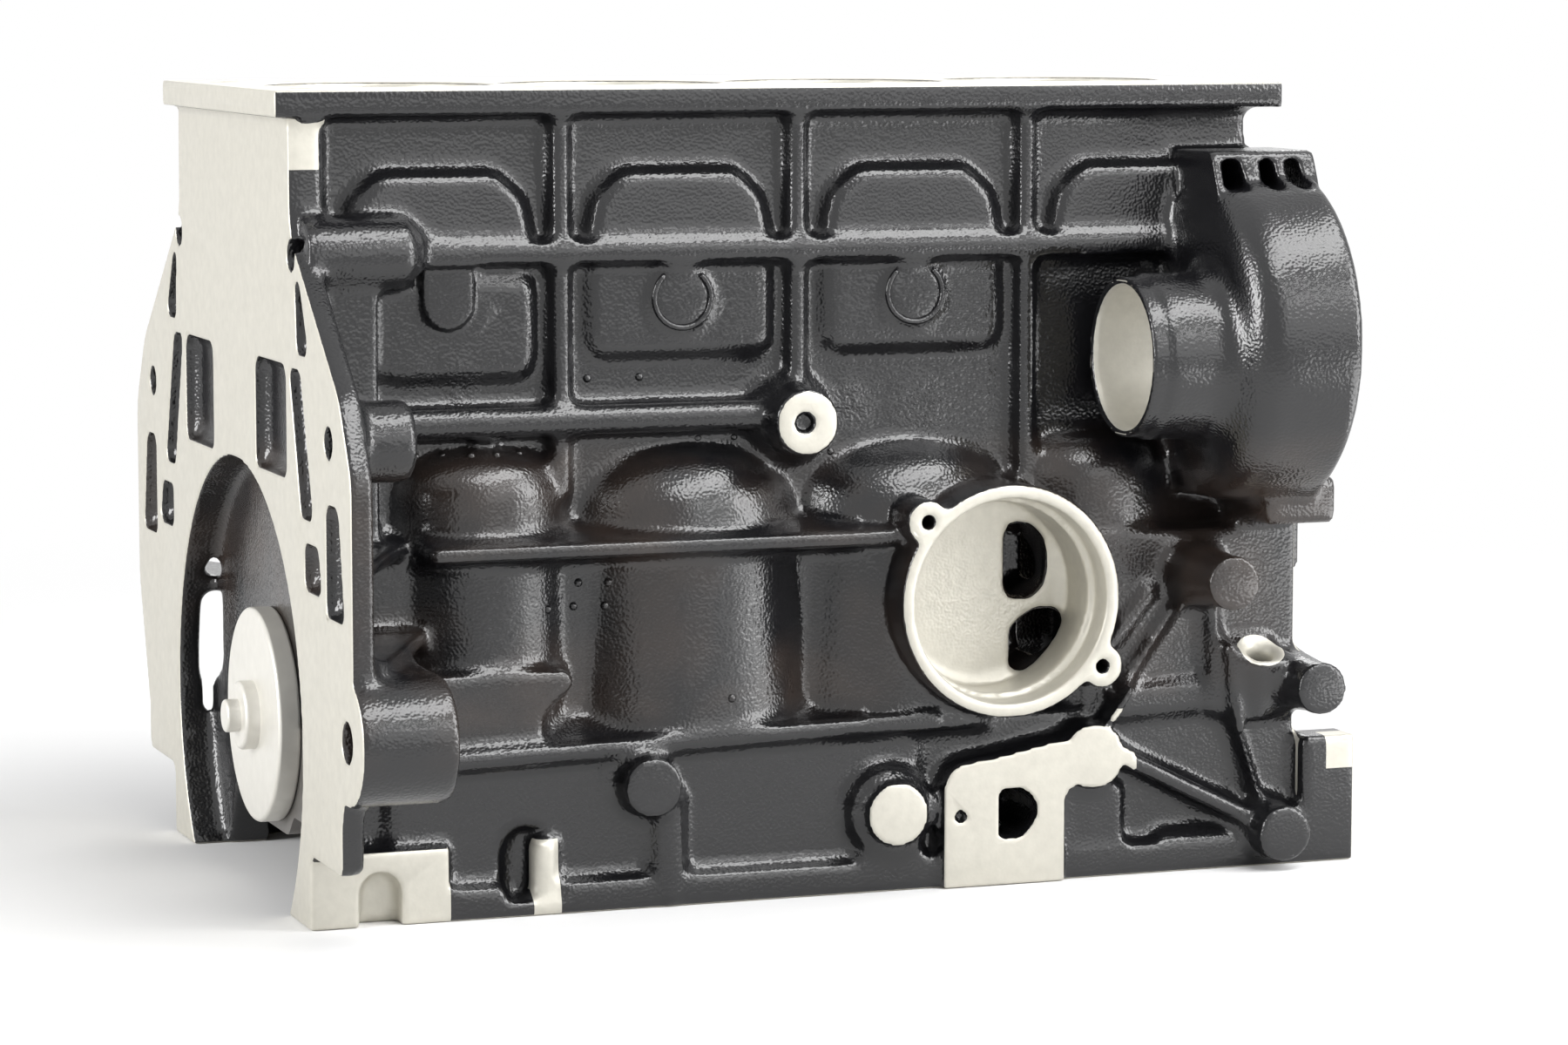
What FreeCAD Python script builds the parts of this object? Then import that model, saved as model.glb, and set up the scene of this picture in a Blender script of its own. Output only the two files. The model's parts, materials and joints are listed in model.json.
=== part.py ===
"""Bare cylinder block of an in-line four-cylinder engine, with its main bearing caps.

Frame: +X runs along the crankshaft from the bell-housing end to the timing end, +Z is up
and the block stands on its sump face at Z = 0. The origin lies in that face, under the
middle of the third main bearing. All sizes are in millimetres.
"""
import math
import os

import FreeCAD
import Part

# Cylinders and crankshaft
CYLINDERS = 4
BORE_PITCH = 88.0
BORE_GAP = 5.5
BORE_RADIUS = (BORE_PITCH - BORE_GAP) / 2
BORE_CHAMFER = 1.0
CRANK_Z = 60.0
DECK_Z = 287.0
BORE_LENGTH = 147.0
MAIN_BORE_RADIUS = 29.5
WEB_THICKNESS = 18.0
REAR_WEB_THICKNESS = 15.0

# Outside of the casting; half widths are measured from the crankshaft's plane
DECK_HALF_WIDTH = 86.0
DECK_THICKNESS = 9.0
RIB_INSET = 3.0
RIB_DEPTH = 8.0
SKIRT_STEP = 12.0
RAIL_STEP = 9.0
RAIL_THICKNESS = 11.0
RIB_HALF_WIDTH = DECK_HALF_WIDTH - RIB_INSET
PANEL_HALF_WIDTH = RIB_HALF_WIDTH - RIB_DEPTH
SKIRT_HALF_WIDTH = RIB_HALF_WIDTH + SKIRT_STEP
RAIL_HALF_WIDTH = SKIRT_HALF_WIDTH + RAIL_STEP
WALL = 7.0
RIB_THICKNESS = 6.5
SKIRT_TOP_Z = CRANK_Z + 3.0
SKIRT_STEP_Z = CRANK_Z + 25.0
LEDGE_Z = CRANK_Z + 70.0
RIB_Z = DECK_Z - 57.0
GALLERY_Z = CRANK_Z + 112.0
GALLERY_Y = 1.0 - RIB_HALF_WIDTH
PIN_HOLE_RADIUS = 2.2

# Ends of the casting, from the outer main bearings
REAR_OVERHANG = 10.0
REAR_DECK_LIP = 5.0
REAR_RECESS_DEPTH = 14.0
FLANGE_THICKNESS = 8.5
DECK_FRONT_OVERHANG = 11.5
UPPER_FRONT_OVERHANG = 2.0
FRONT_OVERHANG = 14.0
RAIL_FRONT_OVERHANG = 35.0

# Cooling
JACKET_FLOOR_Z = DECK_Z - 105.0
JACKET_ROOF_Z = DECK_Z - 14.0
JACKET_WALL = 6.0
CYLINDER_WALL = 6.0
CORE_PLUG_RADIUS = 17.0
CORE_PLUG_DEPTH = 7.0
CORE_PLUG_WALL = 1.6

# Fixings
HEAD_BOLT_RADIUS = 5.5
HEAD_BOLT_DEPTH = 70.0
HEAD_BOLT_HALF_SPACING = 56.0
SUMP_BOLT_RADIUS = 3.4
SUMP_BOLT_DEPTH = 9.0
SUMP_BOLT_PITCH = 49.0
SUMP_BOLT_INSET = 7.0
CAP_BOLT_RADIUS = 5.0
CAP_BOLT_HALF_SPACING = MAIN_BORE_RADIUS + CAP_BOLT_RADIUS + 3.5
CAP_CHEEK = 10.0
CAP_HALF_WIDTH = CAP_BOLT_HALF_SPACING + CAP_CHEEK
CAP_SHOULDER = 8.0
CAP_BOTTOM_Z = CRANK_Z - MAIN_BORE_RADIUS - 12.5
CAP_BOLT_REACH = 38.0
BOLT_HEAD_RADIUS = 8.0
BOLT_HEAD_HEIGHT = 8.0

# Turned plug in the rear main bearing
STUB_RADIUS = 6.0
STUB_LENGTH = 5.0
HUB_RADIUS = 12.5
DISC_RADIUS = 39.0
DISC_THICKNESS = 8.5
SHANK_LENGTH = 10.0
TURNED_EDGE = 1.5

REACH = 400.0  # longer than any part of the block, for cuts that run right through

X_AXIS = FreeCAD.Vector(1, 0, 0)
Y_AXIS = FreeCAD.Vector(0, 1, 0)
Z_AXIS = FreeCAD.Vector(0, 0, 1)

BORE_X = [(i - (CYLINDERS - 1) / 2) * BORE_PITCH for i in range(CYLINDERS)]
MAIN_X = [(i - CYLINDERS / 2) * BORE_PITCH for i in range(CYLINDERS + 1)]
REAR_X = MAIN_X[0] - REAR_OVERHANG
UPPER_FRONT_X = MAIN_X[-1] + UPPER_FRONT_OVERHANG
FRONT_X = MAIN_X[-1] + FRONT_OVERHANG
RAIL_FRONT_X = MAIN_X[-1] + RAIL_FRONT_OVERHANG
REAR_WEB_X = REAR_X + REAR_RECESS_DEPTH

# Each main bearing as (centre, thickness of its web and cap)
BEARINGS = [(REAR_WEB_X + REAR_WEB_THICKNESS / 2, REAR_WEB_THICKNESS)]
BEARINGS += [(x, WEB_THICKNESS) for x in MAIN_X[1:]]

# Bell-housing flange; bolts and starter boss as (y, z)
WING_REACH = 79.0
WING_OUT = RIB_HALF_WIDTH + WING_REACH
FLANGE_BOLT_RADIUS = 5.5
FLANGE_BOLTS = [
    (-RIB_HALF_WIDTH - 2, RIB_Z + 1),
    (-RIB_HALF_WIDTH - 50, GALLERY_Z - 1),
    (RIB_HALF_WIDTH + 2, RIB_Z + 1),
    (RIB_HALF_WIDTH + 50, GALLERY_Z - 1),
]
STARTER = (-WING_OUT + 8, CRANK_Z + 13)
REAR_RECESS_RADIUS = 94.0

# Water pump and its inlet pipe
PUMP_Y = -RIB_HALF_WIDTH - 14
PUMP_Z = DECK_Z - 92
PUMP_RADIUS = 60.0
PUMP_X = (MAIN_X[-1] - 31, MAIN_X[-1] + 10)
SPIGOT_Y = -RIB_HALF_WIDTH - 28
SPIGOT_Z = DECK_Z - 97
SPIGOT_BORE = 25.7
SPIGOT_X = MAIN_X[-1] - 64

# Crankcase breather; its ears as steps from the centre in x and z
BREATHER_X = BORE_X[2] + 25.6
BREATHER_Z = CRANK_Z + 44.0
BREATHER_OUT = RIB_HALF_WIDTH + 31.0
BREATHER_RADIUS = 42.0
BREATHER_BORE = 37.0
BREATHER_EARS = [(-32, 29.5), (35.5, -25)]

# Machined plate on the skirt
PLATE_OUT = RIB_HALF_WIDTH + 24.0
PLATE_X = BREATHER_X - 23.0
LOBE = (PLATE_X + 58.5, CRANK_Z - 15)

# Accessory bracket; bosses as (x, z, radius, distance from the crankshaft's plane)
BRACKET_BOSSES = [
    (MAIN_X[-1] - 27, CRANK_Z + 49, 9.8, RIB_HALF_WIDTH + 48),
    (MAIN_X[-1] + 11.5, CRANK_Z + 8, 9.5, RIB_HALF_WIDTH + 42),
    (MAIN_X[-1] + 1, CRANK_Z - 46, 10.2, RIB_HALF_WIDTH + 35),
]
BRACKET_HOLE = (MAIN_X[-1] - 4, -RIB_HALF_WIDTH - 22, CRANK_Z + 21)
BRACKET_HOLE_AXIS = FreeCAD.Vector(0, -0.42, 0.91)

# Far side, as (x, z)
FAR_BOSSES = [
    (BORE_X[0] + 20, CRANK_Z + 4),
    (BORE_X[1] - 6, CRANK_Z + 4),
    (BORE_X[0] + 20, CRANK_Z + 58),
    (BORE_X[1] - 6, CRANK_Z + 58),
]
FILTER = (BORE_X[2] + 6, CRANK_Z + 32)


def box(x, y, z):
    """Block between the two values of each pair."""
    size = [high - low for low, high in (x, y, z)]
    return Part.makeBox(*size, FreeCAD.Vector(x[0], y[0], z[0]))


def cylinder(centre, radius, length, axis):
    """Cylinder that starts at centre and runs along axis; a negative length runs the other way."""
    direction = axis if length > 0 else axis * -1
    return Part.makeCylinder(radius, abs(length), FreeCAD.Vector(*centre), direction)


def corner_arc(before, corner, after, radius):
    """Start, middle and end of the arc that rounds one corner of an outline."""
    back = (before - corner).normalize()
    ahead = (after - corner).normalize()
    half = back.getAngle(ahead) / 2
    along = radius / math.tan(half)
    bisector = (back + ahead).normalize()
    middle = corner + bisector * (radius / math.sin(half) - radius)
    return corner + back * along, middle, corner + ahead * along


def outline(points):
    """Closed wire through 3-D points, each given with the radius that rounds it."""
    stops = []
    for i, (point, radius) in enumerate(points):
        before = points[i - 1][0]
        after = points[(i + 1) % len(points)][0]
        if radius > 0:
            stops.append(corner_arc(before, point, after, radius))
        else:
            stops.append((point, None, point))
    edges = []
    for i, (start, middle, end) in enumerate(stops):
        if middle is not None:
            edges.append(Part.Arc(start, middle, end).toShape())
        following = stops[(i + 1) % len(stops)][0]
        if (following - end).Length > 1e-6:
            edges.append(Part.makeLine(end, following))
    return Part.Wire(edges)


def prism(plane, points, low, high):
    """Slab with an outline in the plane "yz", "xz" or "xy", between two values of the third axis.

    Each point is (u, v) or (u, v, radius of that corner).
    """
    place = {
        "yz": lambda u, v: FreeCAD.Vector(low, u, v),
        "xz": lambda u, v: FreeCAD.Vector(u, low, v),
        "xy": lambda u, v: FreeCAD.Vector(u, v, low),
    }[plane]
    normal = {"yz": X_AXIS, "xz": Y_AXIS, "xy": Z_AXIS}[plane]
    corners = [(place(p[0], p[1]), p[2] if len(p) > 2 else 0) for p in points]
    return Part.Face(outline(corners)).extrude(normal * (high - low))


def turned(profile, centre, axis):
    """Solid of revolution: profile gives (distance along the axis, radius, corner radius)."""
    side = Z_AXIS if axis is not Z_AXIS else X_AXIS
    base = FreeCAD.Vector(*centre)
    points = [(base + axis * p[0] + side * p[1], p[2] if len(p) > 2 else 0) for p in profile]
    return Part.Face(outline(points)).revolve(base, axis, 360)


def mirrored(shape):
    """The same shape on the other side of the crankshaft's plane."""
    return shape.mirror(FreeCAD.Vector(0, 0, 0), Y_AXIS)


def softened(shape, radius, keep):
    """Rounds the edges of a boss or pad for which keep(edge) holds."""
    return shape.makeFillet(radius, [edge for edge in shape.Edges if keep(edge)])


def outward_pad(points, depth, top, soft=2.5):
    """Cast pad on the near side, from depth out to top, with its outer edges rounded."""
    pad = prism("xz", points, -top, -depth)

    def on_top(edge):
        return all(abs(v.Point.y + top) < 1e-4 for v in edge.Vertexes)

    return softened(pad, soft, on_top)


def round_boss(x, z, radius, depth, top):
    """Round boss standing out towards -Y from depth to top."""
    return cylinder((x, -depth, z), radius, depth - top, Y_AXIS)


def strut(start, end, thickness, depth, top):
    """Straight rib between two (x, z) points, standing out towards -Y from depth to top."""
    run = FreeCAD.Vector(end[0] - start[0], 0, end[1] - start[1])
    side = run.cross(Y_AXIS).normalize() * (thickness / 2)
    a = FreeCAD.Vector(start[0], -top, start[1])
    b = FreeCAD.Vector(end[0], -top, end[1])
    wire = Part.makePolygon([a + side, b + side, b - side, a - side, a + side])
    return Part.Face(wire).extrude(Y_AXIS * (top - depth))


# Outside of the casting


def upper_body():
    """Walls round the water jacket, up to the deck, with the deck's overhanging flange."""
    half = PANEL_HALF_WIDTH
    walls = box((REAR_X, UPPER_FRONT_X), (-half, half), (LEDGE_Z - 10, DECK_Z))
    deck = box(
        (REAR_X - REAR_DECK_LIP, MAIN_X[-1] + DECK_FRONT_OVERHANG),
        (-DECK_HALF_WIDTH, DECK_HALF_WIDTH),
        (DECK_Z - DECK_THICKNESS, DECK_Z),
    )
    return [walls, deck]


def crankcase_body():
    """Walls of the crankcase between the sump face and the ledge, and the sump rail."""
    skirt = SKIRT_HALF_WIDTH
    waist = RIB_HALF_WIDTH
    section = [
        (-skirt, 0),
        (skirt, 0),
        (skirt, SKIRT_TOP_Z - 3, 3),
        (waist, SKIRT_TOP_Z + 4, 3),
        (waist, LEDGE_Z - 6, 8),
        (PANEL_HALF_WIDTH, LEDGE_Z + 8, 4),
        (-PANEL_HALF_WIDTH, LEDGE_Z + 8, 4),
        (-waist, LEDGE_Z - 6, 8),
        (-waist, SKIRT_TOP_Z + 4, 3),
        (-skirt, SKIRT_TOP_Z - 3, 3),
    ]
    walls = prism("yz", section, REAR_X, FRONT_X)
    rail = box(
        (REAR_X, RAIL_FRONT_X),
        (-RAIL_HALF_WIDTH, RAIL_HALF_WIDTH),
        (0, RAIL_THICKNESS),
    )
    cover_rim = prism(
        "yz",
        [
            (-RAIL_HALF_WIDTH, 0),
            (RAIL_HALF_WIDTH, 0),
            (RAIL_HALF_WIDTH, CRANK_Z - 13),
            (-RAIL_HALF_WIDTH, CRANK_Z - 13),
        ],
        FRONT_X,
        RAIL_FRONT_X,
    )
    return [walls, rail, cover_rim]


def barrel(x, radius, flare, stand_off):
    """Outside of one cylinder's lower end: a round wall that flares downwards, under a dome."""
    foot = SKIRT_TOP_Z - 6
    crown = LEDGE_Z + 30
    profile = [(foot, 0), (foot, radius + flare), (crown, radius, radius - 19), (crown, 0)]
    return turned(profile, (x, -stand_off, 0), Z_AXIS)


def barrels():
    """Round walls of all cylinders; the end ones are narrower where the end walls cut in."""
    middle = BORE_RADIUS + 6.75
    narrow = BORE_RADIUS - 6.0
    inset = 16.0
    shapes = []
    for i, x in enumerate(BORE_X):
        if 0 < i < CYLINDERS - 1:
            near = barrel(x + (5 if i == 1 else 0), middle, 6, RIB_HALF_WIDTH + 13 - middle)
        else:
            inward = inset if i == 0 else -inset
            near = barrel(x + inward, narrow, 1, RIB_HALF_WIDTH + 11 - narrow)
        shapes.append(near)
        shapes.append(mirrored(barrel(x, middle - 2, 0, RIB_HALF_WIDTH + 9 - middle)))
    return shapes


def wall_ribs():
    """Upright ribs between the cylinders and the long rib that crosses them, on both sides."""
    depth = PANEL_HALF_WIDTH - 2
    half = RIB_THICKNESS / 2
    ribs = []
    feet = [LEDGE_Z + 14, GALLERY_Z, LEDGE_Z + 10]
    for x, foot in zip(MAIN_X[1:-1], feet):
        ribs.append(box((x - half, x + half), (-RIB_HALF_WIDTH, -depth), (foot, DECK_Z - 2)))
    cross = prism(
        "xz",
        [
            (REAR_X + 2, RIB_Z - 3.5),
            (UPPER_FRONT_X, RIB_Z - 5),
            (UPPER_FRONT_X, RIB_Z + 3),
            (REAR_X + 54, RIB_Z + 3.5, 14),
            (REAR_X + 34, RIB_Z + 11, 14),
            (REAR_X + 2, RIB_Z + 11),
        ],
        -RIB_HALF_WIDTH - 2.5,
        -depth,
    )
    ribs.append(cross)
    return ribs + [mirrored(rib) for rib in ribs]


def upper_humps():
    """Cast swellings over each cylinder between the deck and the long rib, on both sides."""
    low = RIB_Z + 1
    high = DECK_Z - 29
    humps = []
    for x in BORE_X:
        outline_points = [
            (x - 35, low, 3),
            (x + 35, low, 3),
            (x + 31, high - 9, 9),
            (x + 21, high, 9),
            (x - 21, high, 9),
            (x - 31, high - 9, 9),
        ]
        hump = outward_pad(outline_points, PANEL_HALF_WIDTH - 3, RIB_HALF_WIDTH - 1, 4)
        humps.append(hump)
    return humps + [mirrored(hump) for hump in humps]


def plug_pads():
    """Rounded pads below the long rib with the raised disc of each unused core plug."""
    near = []
    for i, x in enumerate(BORE_X[:3]):
        low = RIB_Z - 37
        high = RIB_Z - 5.5
        left = x - 33
        if i == 0:
            low -= 6.5
            high -= 3
            left = x - 22
        corners = [(left, low, 7), (x + 35, low, 7), (x + 35, high, 5), (left, high, 5)]
        near.append(outward_pad(corners, PANEL_HALF_WIDTH - 3, RIB_HALF_WIDTH - 3.5, 3))
        top = RIB_HALF_WIDTH - 0.4
        disc_x = x + (3 if i == 0 else 0.5)
        near.append(round_boss(disc_x, RIB_Z - 17, 10.5 if i else 9.3, PANEL_HALF_WIDTH, top))
        half = 4 if i else 9.3
        near.append(box((disc_x - half, disc_x + half), (-top, -PANEL_HALF_WIDTH), (RIB_Z - 17, RIB_Z)))
    return near


def gallery_tube():
    """Main oil gallery cast along the near wall, from its rear boss to the knock-sensor boss."""
    tube = cylinder((REAR_X + 8, GALLERY_Y, GALLERY_Z - 1), 5.5, MAIN_X[2] - REAR_X - 8, X_AXIS)
    root = box(
        (REAR_X + 3, REAR_X + 30),
        (-RIB_HALF_WIDTH - 8, -PANEL_HALF_WIDTH),
        (LEDGE_Z + 4, RIB_Z + 4),
    )
    sensor_boss = turned(
        [(0, 0), (0, 17), (8, 12.5, 4), (24, 11.8), (24, 0)],
        (MAIN_X[2] - 2.5, -PANEL_HALF_WIDTH, GALLERY_Z - 3),
        Y_AXIS * -1,
    )
    return [tube, root, sensor_boss]


def near_ledges():
    """Long ledge above the barrels and the raised, stepped top of the skirt below them."""
    out = RIB_HALF_WIDTH + 21
    upper = prism(
        "yz",
        [
            (-out, LEDGE_Z - 5, 1.5),
            (-PANEL_HALF_WIDTH, LEDGE_Z - 9),
            (-PANEL_HALF_WIDTH, LEDGE_Z + 4),
            (-out, LEDGE_Z, 1.5),
        ],
        REAR_X + 44,
        BORE_X[2] - 8,
    )
    lower = prism(
        "xz",
        [
            (REAR_X + 30, 0),
            (BORE_X[2] - 4, 0),
            (BORE_X[2] - 4, SKIRT_TOP_Z, 2),
            (MAIN_X[1] - 12, SKIRT_TOP_Z - 5, 6),
            (MAIN_X[1] - 12, SKIRT_STEP_Z - 16, 5),
            (MAIN_X[1] + 6, SKIRT_STEP_Z, 4),
            (REAR_X + 30, SKIRT_STEP_Z),
        ],
        -SKIRT_HALF_WIDTH - 3,
        -RIB_HALF_WIDTH,
    )
    lip = prism(
        "xz",
        [
            (REAR_X + 46, SKIRT_TOP_Z - 11),
            (BORE_X[2] + 2, SKIRT_TOP_Z - 5),
            (BORE_X[2] + 2, SKIRT_TOP_Z + 1, 2),
            (REAR_X + 46, SKIRT_TOP_Z - 5),
        ],
        -SKIRT_HALF_WIDTH - 8,
        -SKIRT_HALF_WIDTH,
    )
    return [upper, lower, lip]


def far_ledge():
    """The far side's ledge, plain and straight."""
    out = RIB_HALF_WIDTH + 8
    section = [
        (PANEL_HALF_WIDTH, LEDGE_Z - 8),
        (out, LEDGE_Z - 4, 1.5),
        (out, LEDGE_Z + 1, 1.5),
        (PANEL_HALF_WIDTH, LEDGE_Z + 5),
    ]
    return [prism("yz", section, REAR_X + 20, FRONT_X - 6)]


# Bell-housing end


def flange_half():
    """Corners of the near half of the bell-housing face, from the top down."""
    return [
        (-RIB_HALF_WIDTH, DECK_Z - 2),
        (-RIB_HALF_WIDTH - 0.5, RIB_Z + 8, 20),
        (-WING_OUT + 15, RIB_Z - 43, 30),
        (-WING_OUT, RIB_Z - 69, 20),
        (-WING_OUT, CRANK_Z + 32, 10),
        (-WING_OUT + 16, CRANK_Z - 18, 8),
        (-WING_OUT + 16, CRANK_Z - 34, 4),
        (-RAIL_HALF_WIDTH, CRANK_Z - 34, 4),
        (-RAIL_HALF_WIDTH, 0),
    ]


def bell_housing_flange():
    """Machined plate that the transmission bolts to, with wings down both sides."""
    near = flange_half()
    far = [(-p[0],) + tuple(p[1:]) for p in reversed(near)]
    plate = prism("yz", near + far, REAR_X, REAR_X + FLANGE_THICKNESS)
    post = box(
        (REAR_X, REAR_X + 13),
        (-RIB_HALF_WIDTH, RIB_HALF_WIDTH),
        (RIB_Z, DECK_Z - 2),
    )
    return [plate, post]


def flange_bosses():
    """Bosses behind the flange with their webs, the starter boss and the gussets."""
    shapes = []
    upper, lower = FLANGE_BOLTS[:2]
    profile = [(0, 0), (0, 12.5), (36, 12.5, 3), (42, 7), (42, 0)]
    shapes.append(turned(profile, (REAR_X + 4, *upper), X_AXIS))
    shapes.append(turned([(0, 0), (0, 14), (28, 14, 2), (28, 0)], (REAR_X, *lower), X_AXIS))
    web = box(
        (REAR_X + 2, REAR_X + 24),
        (lower[0], -PANEL_HALF_WIDTH),
        (lower[1] - 9, lower[1] + 7),
    )
    gusset = prism(
        "xy",
        [
            (REAR_X + 4, -PANEL_HALF_WIDTH),
            (REAR_X + 4, -WING_OUT + 6),
            (REAR_X + 14, -WING_OUT + 6, 3),
            (REAR_X + 52, -PANEL_HALF_WIDTH),
        ],
        STARTER[1] + 21,
        STARTER[1] + 27,
    )
    shelf = prism(
        "xy",
        [
            (REAR_X + 4, -PANEL_HALF_WIDTH),
            (REAR_X + 4, -WING_OUT + 20),
            (REAR_X + 12, -WING_OUT + 20, 3),
            (REAR_X + 44, -PANEL_HALF_WIDTH),
        ],
        LEDGE_Z - 5,
        LEDGE_Z + 1,
    )
    shapes += [web, gusset, shelf]
    shapes += [mirrored(shape) for shape in shapes]
    shapes.append(cylinder((REAR_X, *STARTER), 21.5, 34, X_AXIS))
    shapes.append(
        box(
            (REAR_X, REAR_X + 34),
            (STARTER[0], -SKIRT_HALF_WIDTH),
            (STARTER[1] - 21.5, STARTER[1] + 21.5),
        )
    )
    return shapes


def rear_foot():
    """Machined block at the rear of the near sump rail."""
    foot = box(
        (REAR_X, MAIN_X[1] - 48.5),
        (-RIB_HALF_WIDTH - 21, -SKIRT_HALF_WIDTH + 4),
        (0, CRANK_Z - 34),
    )
    return [foot]


def flange_cuts():
    """Lightening pockets, bolt holes and the starter hole of the bell-housing face."""
    pockets = [
        [(-108, 198, 4), (-92, 198, 3), (-90, 222, 2), (-96, 222, 3)],
        [(-76, 154, 4), (-32, 154, 4), (-32, 193, 6), (-76, 193, 6)],
        [(-112, 142, 4), (-96, 142, 5), (-81, 192, 3), (-96, 192, 5)],
        [(-123, 118, 4), (-100, 118, 4), (-100, 134, 4), (-118, 134, 5)],
        [(-152, 112, 4), (-129, 112, 4), (-129, 150, 5), (-145, 150, 6)],
    ]
    cuts = []
    for corners in pockets:
        pocket = prism("yz", corners, REAR_X - 1, REAR_X + FLANGE_THICKNESS - 2.5)
        cuts += [pocket, mirrored(pocket)]
    for y, z in FLANGE_BOLTS:
        cuts.append(cylinder((REAR_X - 1, y, z), FLANGE_BOLT_RADIUS, 32, X_AXIS))
    cuts.append(cylinder((REAR_X - 1, *STARTER), 7, REACH / 8, X_AXIS))
    recess = cylinder((REAR_X - 1, 0, CRANK_Z), REAR_RECESS_RADIUS, REAR_RECESS_DEPTH + 1, X_AXIS)
    cuts.append(recess)
    notch = prism(
        "xz",
        [
            (MAIN_X[0] + 7.5, -1),
            (MAIN_X[0] + 22.5, -1),
            (MAIN_X[0] + 22.5, 19, 7.4),
            (MAIN_X[0] + 7.5, 19, 7.4),
        ],
        -RIB_HALF_WIDTH - 22,
        -RIB_HALF_WIDTH - 12,
    )
    cuts.append(notch)
    return cuts


# Timing end


def pump_volute():
    """Round water-pump housing cast onto the near corner, with its upper ear and its foot."""
    rear, front = PUMP_X
    length = front - rear
    drum = turned(
        [(0, 0), (0, PUMP_RADIUS - 2, 14), (length, PUMP_RADIUS + 2, 3), (length, 0)],
        (rear, PUMP_Y, PUMP_Z),
        X_AXIS,
    )
    wall = -PANEL_HALF_WIDTH + 1
    cheek = prism(
        "yz",
        [
            (wall, PUMP_Z - 55),
            (PUMP_Y, PUMP_Z - 58),
            (PUMP_Y - 20, PUMP_Z + 50, 10),
            (PUMP_Y - 12, PUMP_Z + 68, 5),
            (wall, PUMP_Z + 68),
        ],
        rear + 3,
        front + 3,
    )
    foot = box((rear + 22, front + 9), (PUMP_Y - 22, wall), (PUMP_Z - 67, PUMP_Z - 50))
    lug = prism(
        "xz",
        [
            (MAIN_X[-1] - 6, LEDGE_Z - 6),
            (MAIN_X[-1] - 6, LEDGE_Z - 34),
            (MAIN_X[-1] + 8, LEDGE_Z - 32, 4),
            (MAIN_X[-1] + 21, LEDGE_Z - 22, 4),
            (MAIN_X[-1] + 21, LEDGE_Z - 1),
            (MAIN_X[-1] - 6, LEDGE_Z - 1),
        ],
        -RIB_HALF_WIDTH - 1,
        -PANEL_HALF_WIDTH + 20,
    )
    return [drum, cheek, foot, lug]


def pump_spigot():
    """Inlet pipe of the pump, pointing to the rear, with its sealing groove and bead."""
    length = PUMP_X[0] - SPIGOT_X
    outside = SPIGOT_BORE + 4.3
    pipe = turned(
        [
            (0, 0),
            (0, outside - 1.2, 1),
            (7, outside - 1.2),
            (8.5, outside),
            (length - 4, outside, 9),
            (length + 2, outside + 8),
            (length + 8, outside + 8),
            (length + 8, 0),
        ],
        (SPIGOT_X, SPIGOT_Y, SPIGOT_Z),
        X_AXIS,
    )
    return [pipe]


def pump_cuts():
    """Inlet bore, pump chamber and the small pockets in the ear."""
    length = PUMP_X[1] - SPIGOT_X + 20
    inlet = cylinder((SPIGOT_X - 1, SPIGOT_Y, SPIGOT_Z), SPIGOT_BORE, length, X_AXIS)
    lead_in = turned(
        [(-1, 0), (-1, SPIGOT_BORE + 2.4), (2, SPIGOT_BORE), (2, 0)],
        (SPIGOT_X, SPIGOT_Y, SPIGOT_Z),
        X_AXIS,
    )
    chamber = turned(
        [(0, 0), (0, PUMP_RADIUS - 12, 8), (REACH / 8, PUMP_RADIUS - 10), (REACH / 8, 0)],
        (PUMP_X[0] + 9, PUMP_Y, PUMP_Z),
        X_AXIS,
    )
    cuts = [inlet, lead_in, chamber]
    low, high = PUMP_Z + 54, PUMP_Z + 65
    for start, width in [(6, 9), (21, 7), (31, 7)]:
        x = PUMP_X[0] + start
        corners = [(x, low, 2), (x + width, low, 2), (x + width - 1, high, 2), (x + 1, high, 2)]
        cuts.append(prism("xz", corners, PUMP_Y - REACH / 8, -PANEL_HALF_WIDTH + 2))
    return cuts


# Crankcase breather


def breather_boss():
    """Deep ring for the oil separator, with an ear for each of its two bolts."""
    drum = cylinder(
        (BREATHER_X, -PANEL_HALF_WIDTH, BREATHER_Z),
        BREATHER_RADIUS,
        PANEL_HALF_WIDTH - BREATHER_OUT,
        Y_AXIS,
    )
    shapes = [drum]
    for dx, dz in BREATHER_EARS:
        ear = cylinder(
            (BREATHER_X + dx, -PANEL_HALF_WIDTH, BREATHER_Z + dz),
            8.0,
            PANEL_HALF_WIDTH - BREATHER_OUT,
            Y_AXIS,
        )
        shapes.append(ear)
    return shapes


def breather_cuts():
    """Stepped bore of the ring, its two windows into the crankcase and its bolt holes."""
    floor = RIB_HALF_WIDTH - 1
    centre = (BREATHER_X, -BREATHER_OUT - 1, BREATHER_Z)
    cuts = [
        cylinder(centre, BREATHER_BORE, 13, Y_AXIS),
        cylinder(centre, BREATHER_BORE - 2.5, BREATHER_OUT + 1 - floor, Y_AXIS),
    ]
    windows = [
        [(11, -3), (20, -3, 3), (26, 3, 3), (26, 18, 3), (20, 24, 3), (11, 24)],
        [(13, -31), (20, -31, 3), (34, -17, 3), (34, -8, 2), (22, -8, 3), (13, -14, 3)],
    ]
    for corners in windows:
        placed = [(BREATHER_X + p[0], BREATHER_Z + p[1], *p[2:]) for p in corners]
        cuts.append(prism("xz", placed, -floor - 1, -floor + 27))
    for dx, dz in BREATHER_EARS:
        hole = (BREATHER_X + dx, -BREATHER_OUT - 1, BREATHER_Z + dz)
        cuts.append(cylinder(hole, PIN_HOLE_RADIUS + 0.2, 17, Y_AXIS))
    return cuts


# Near side of the skirt


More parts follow.
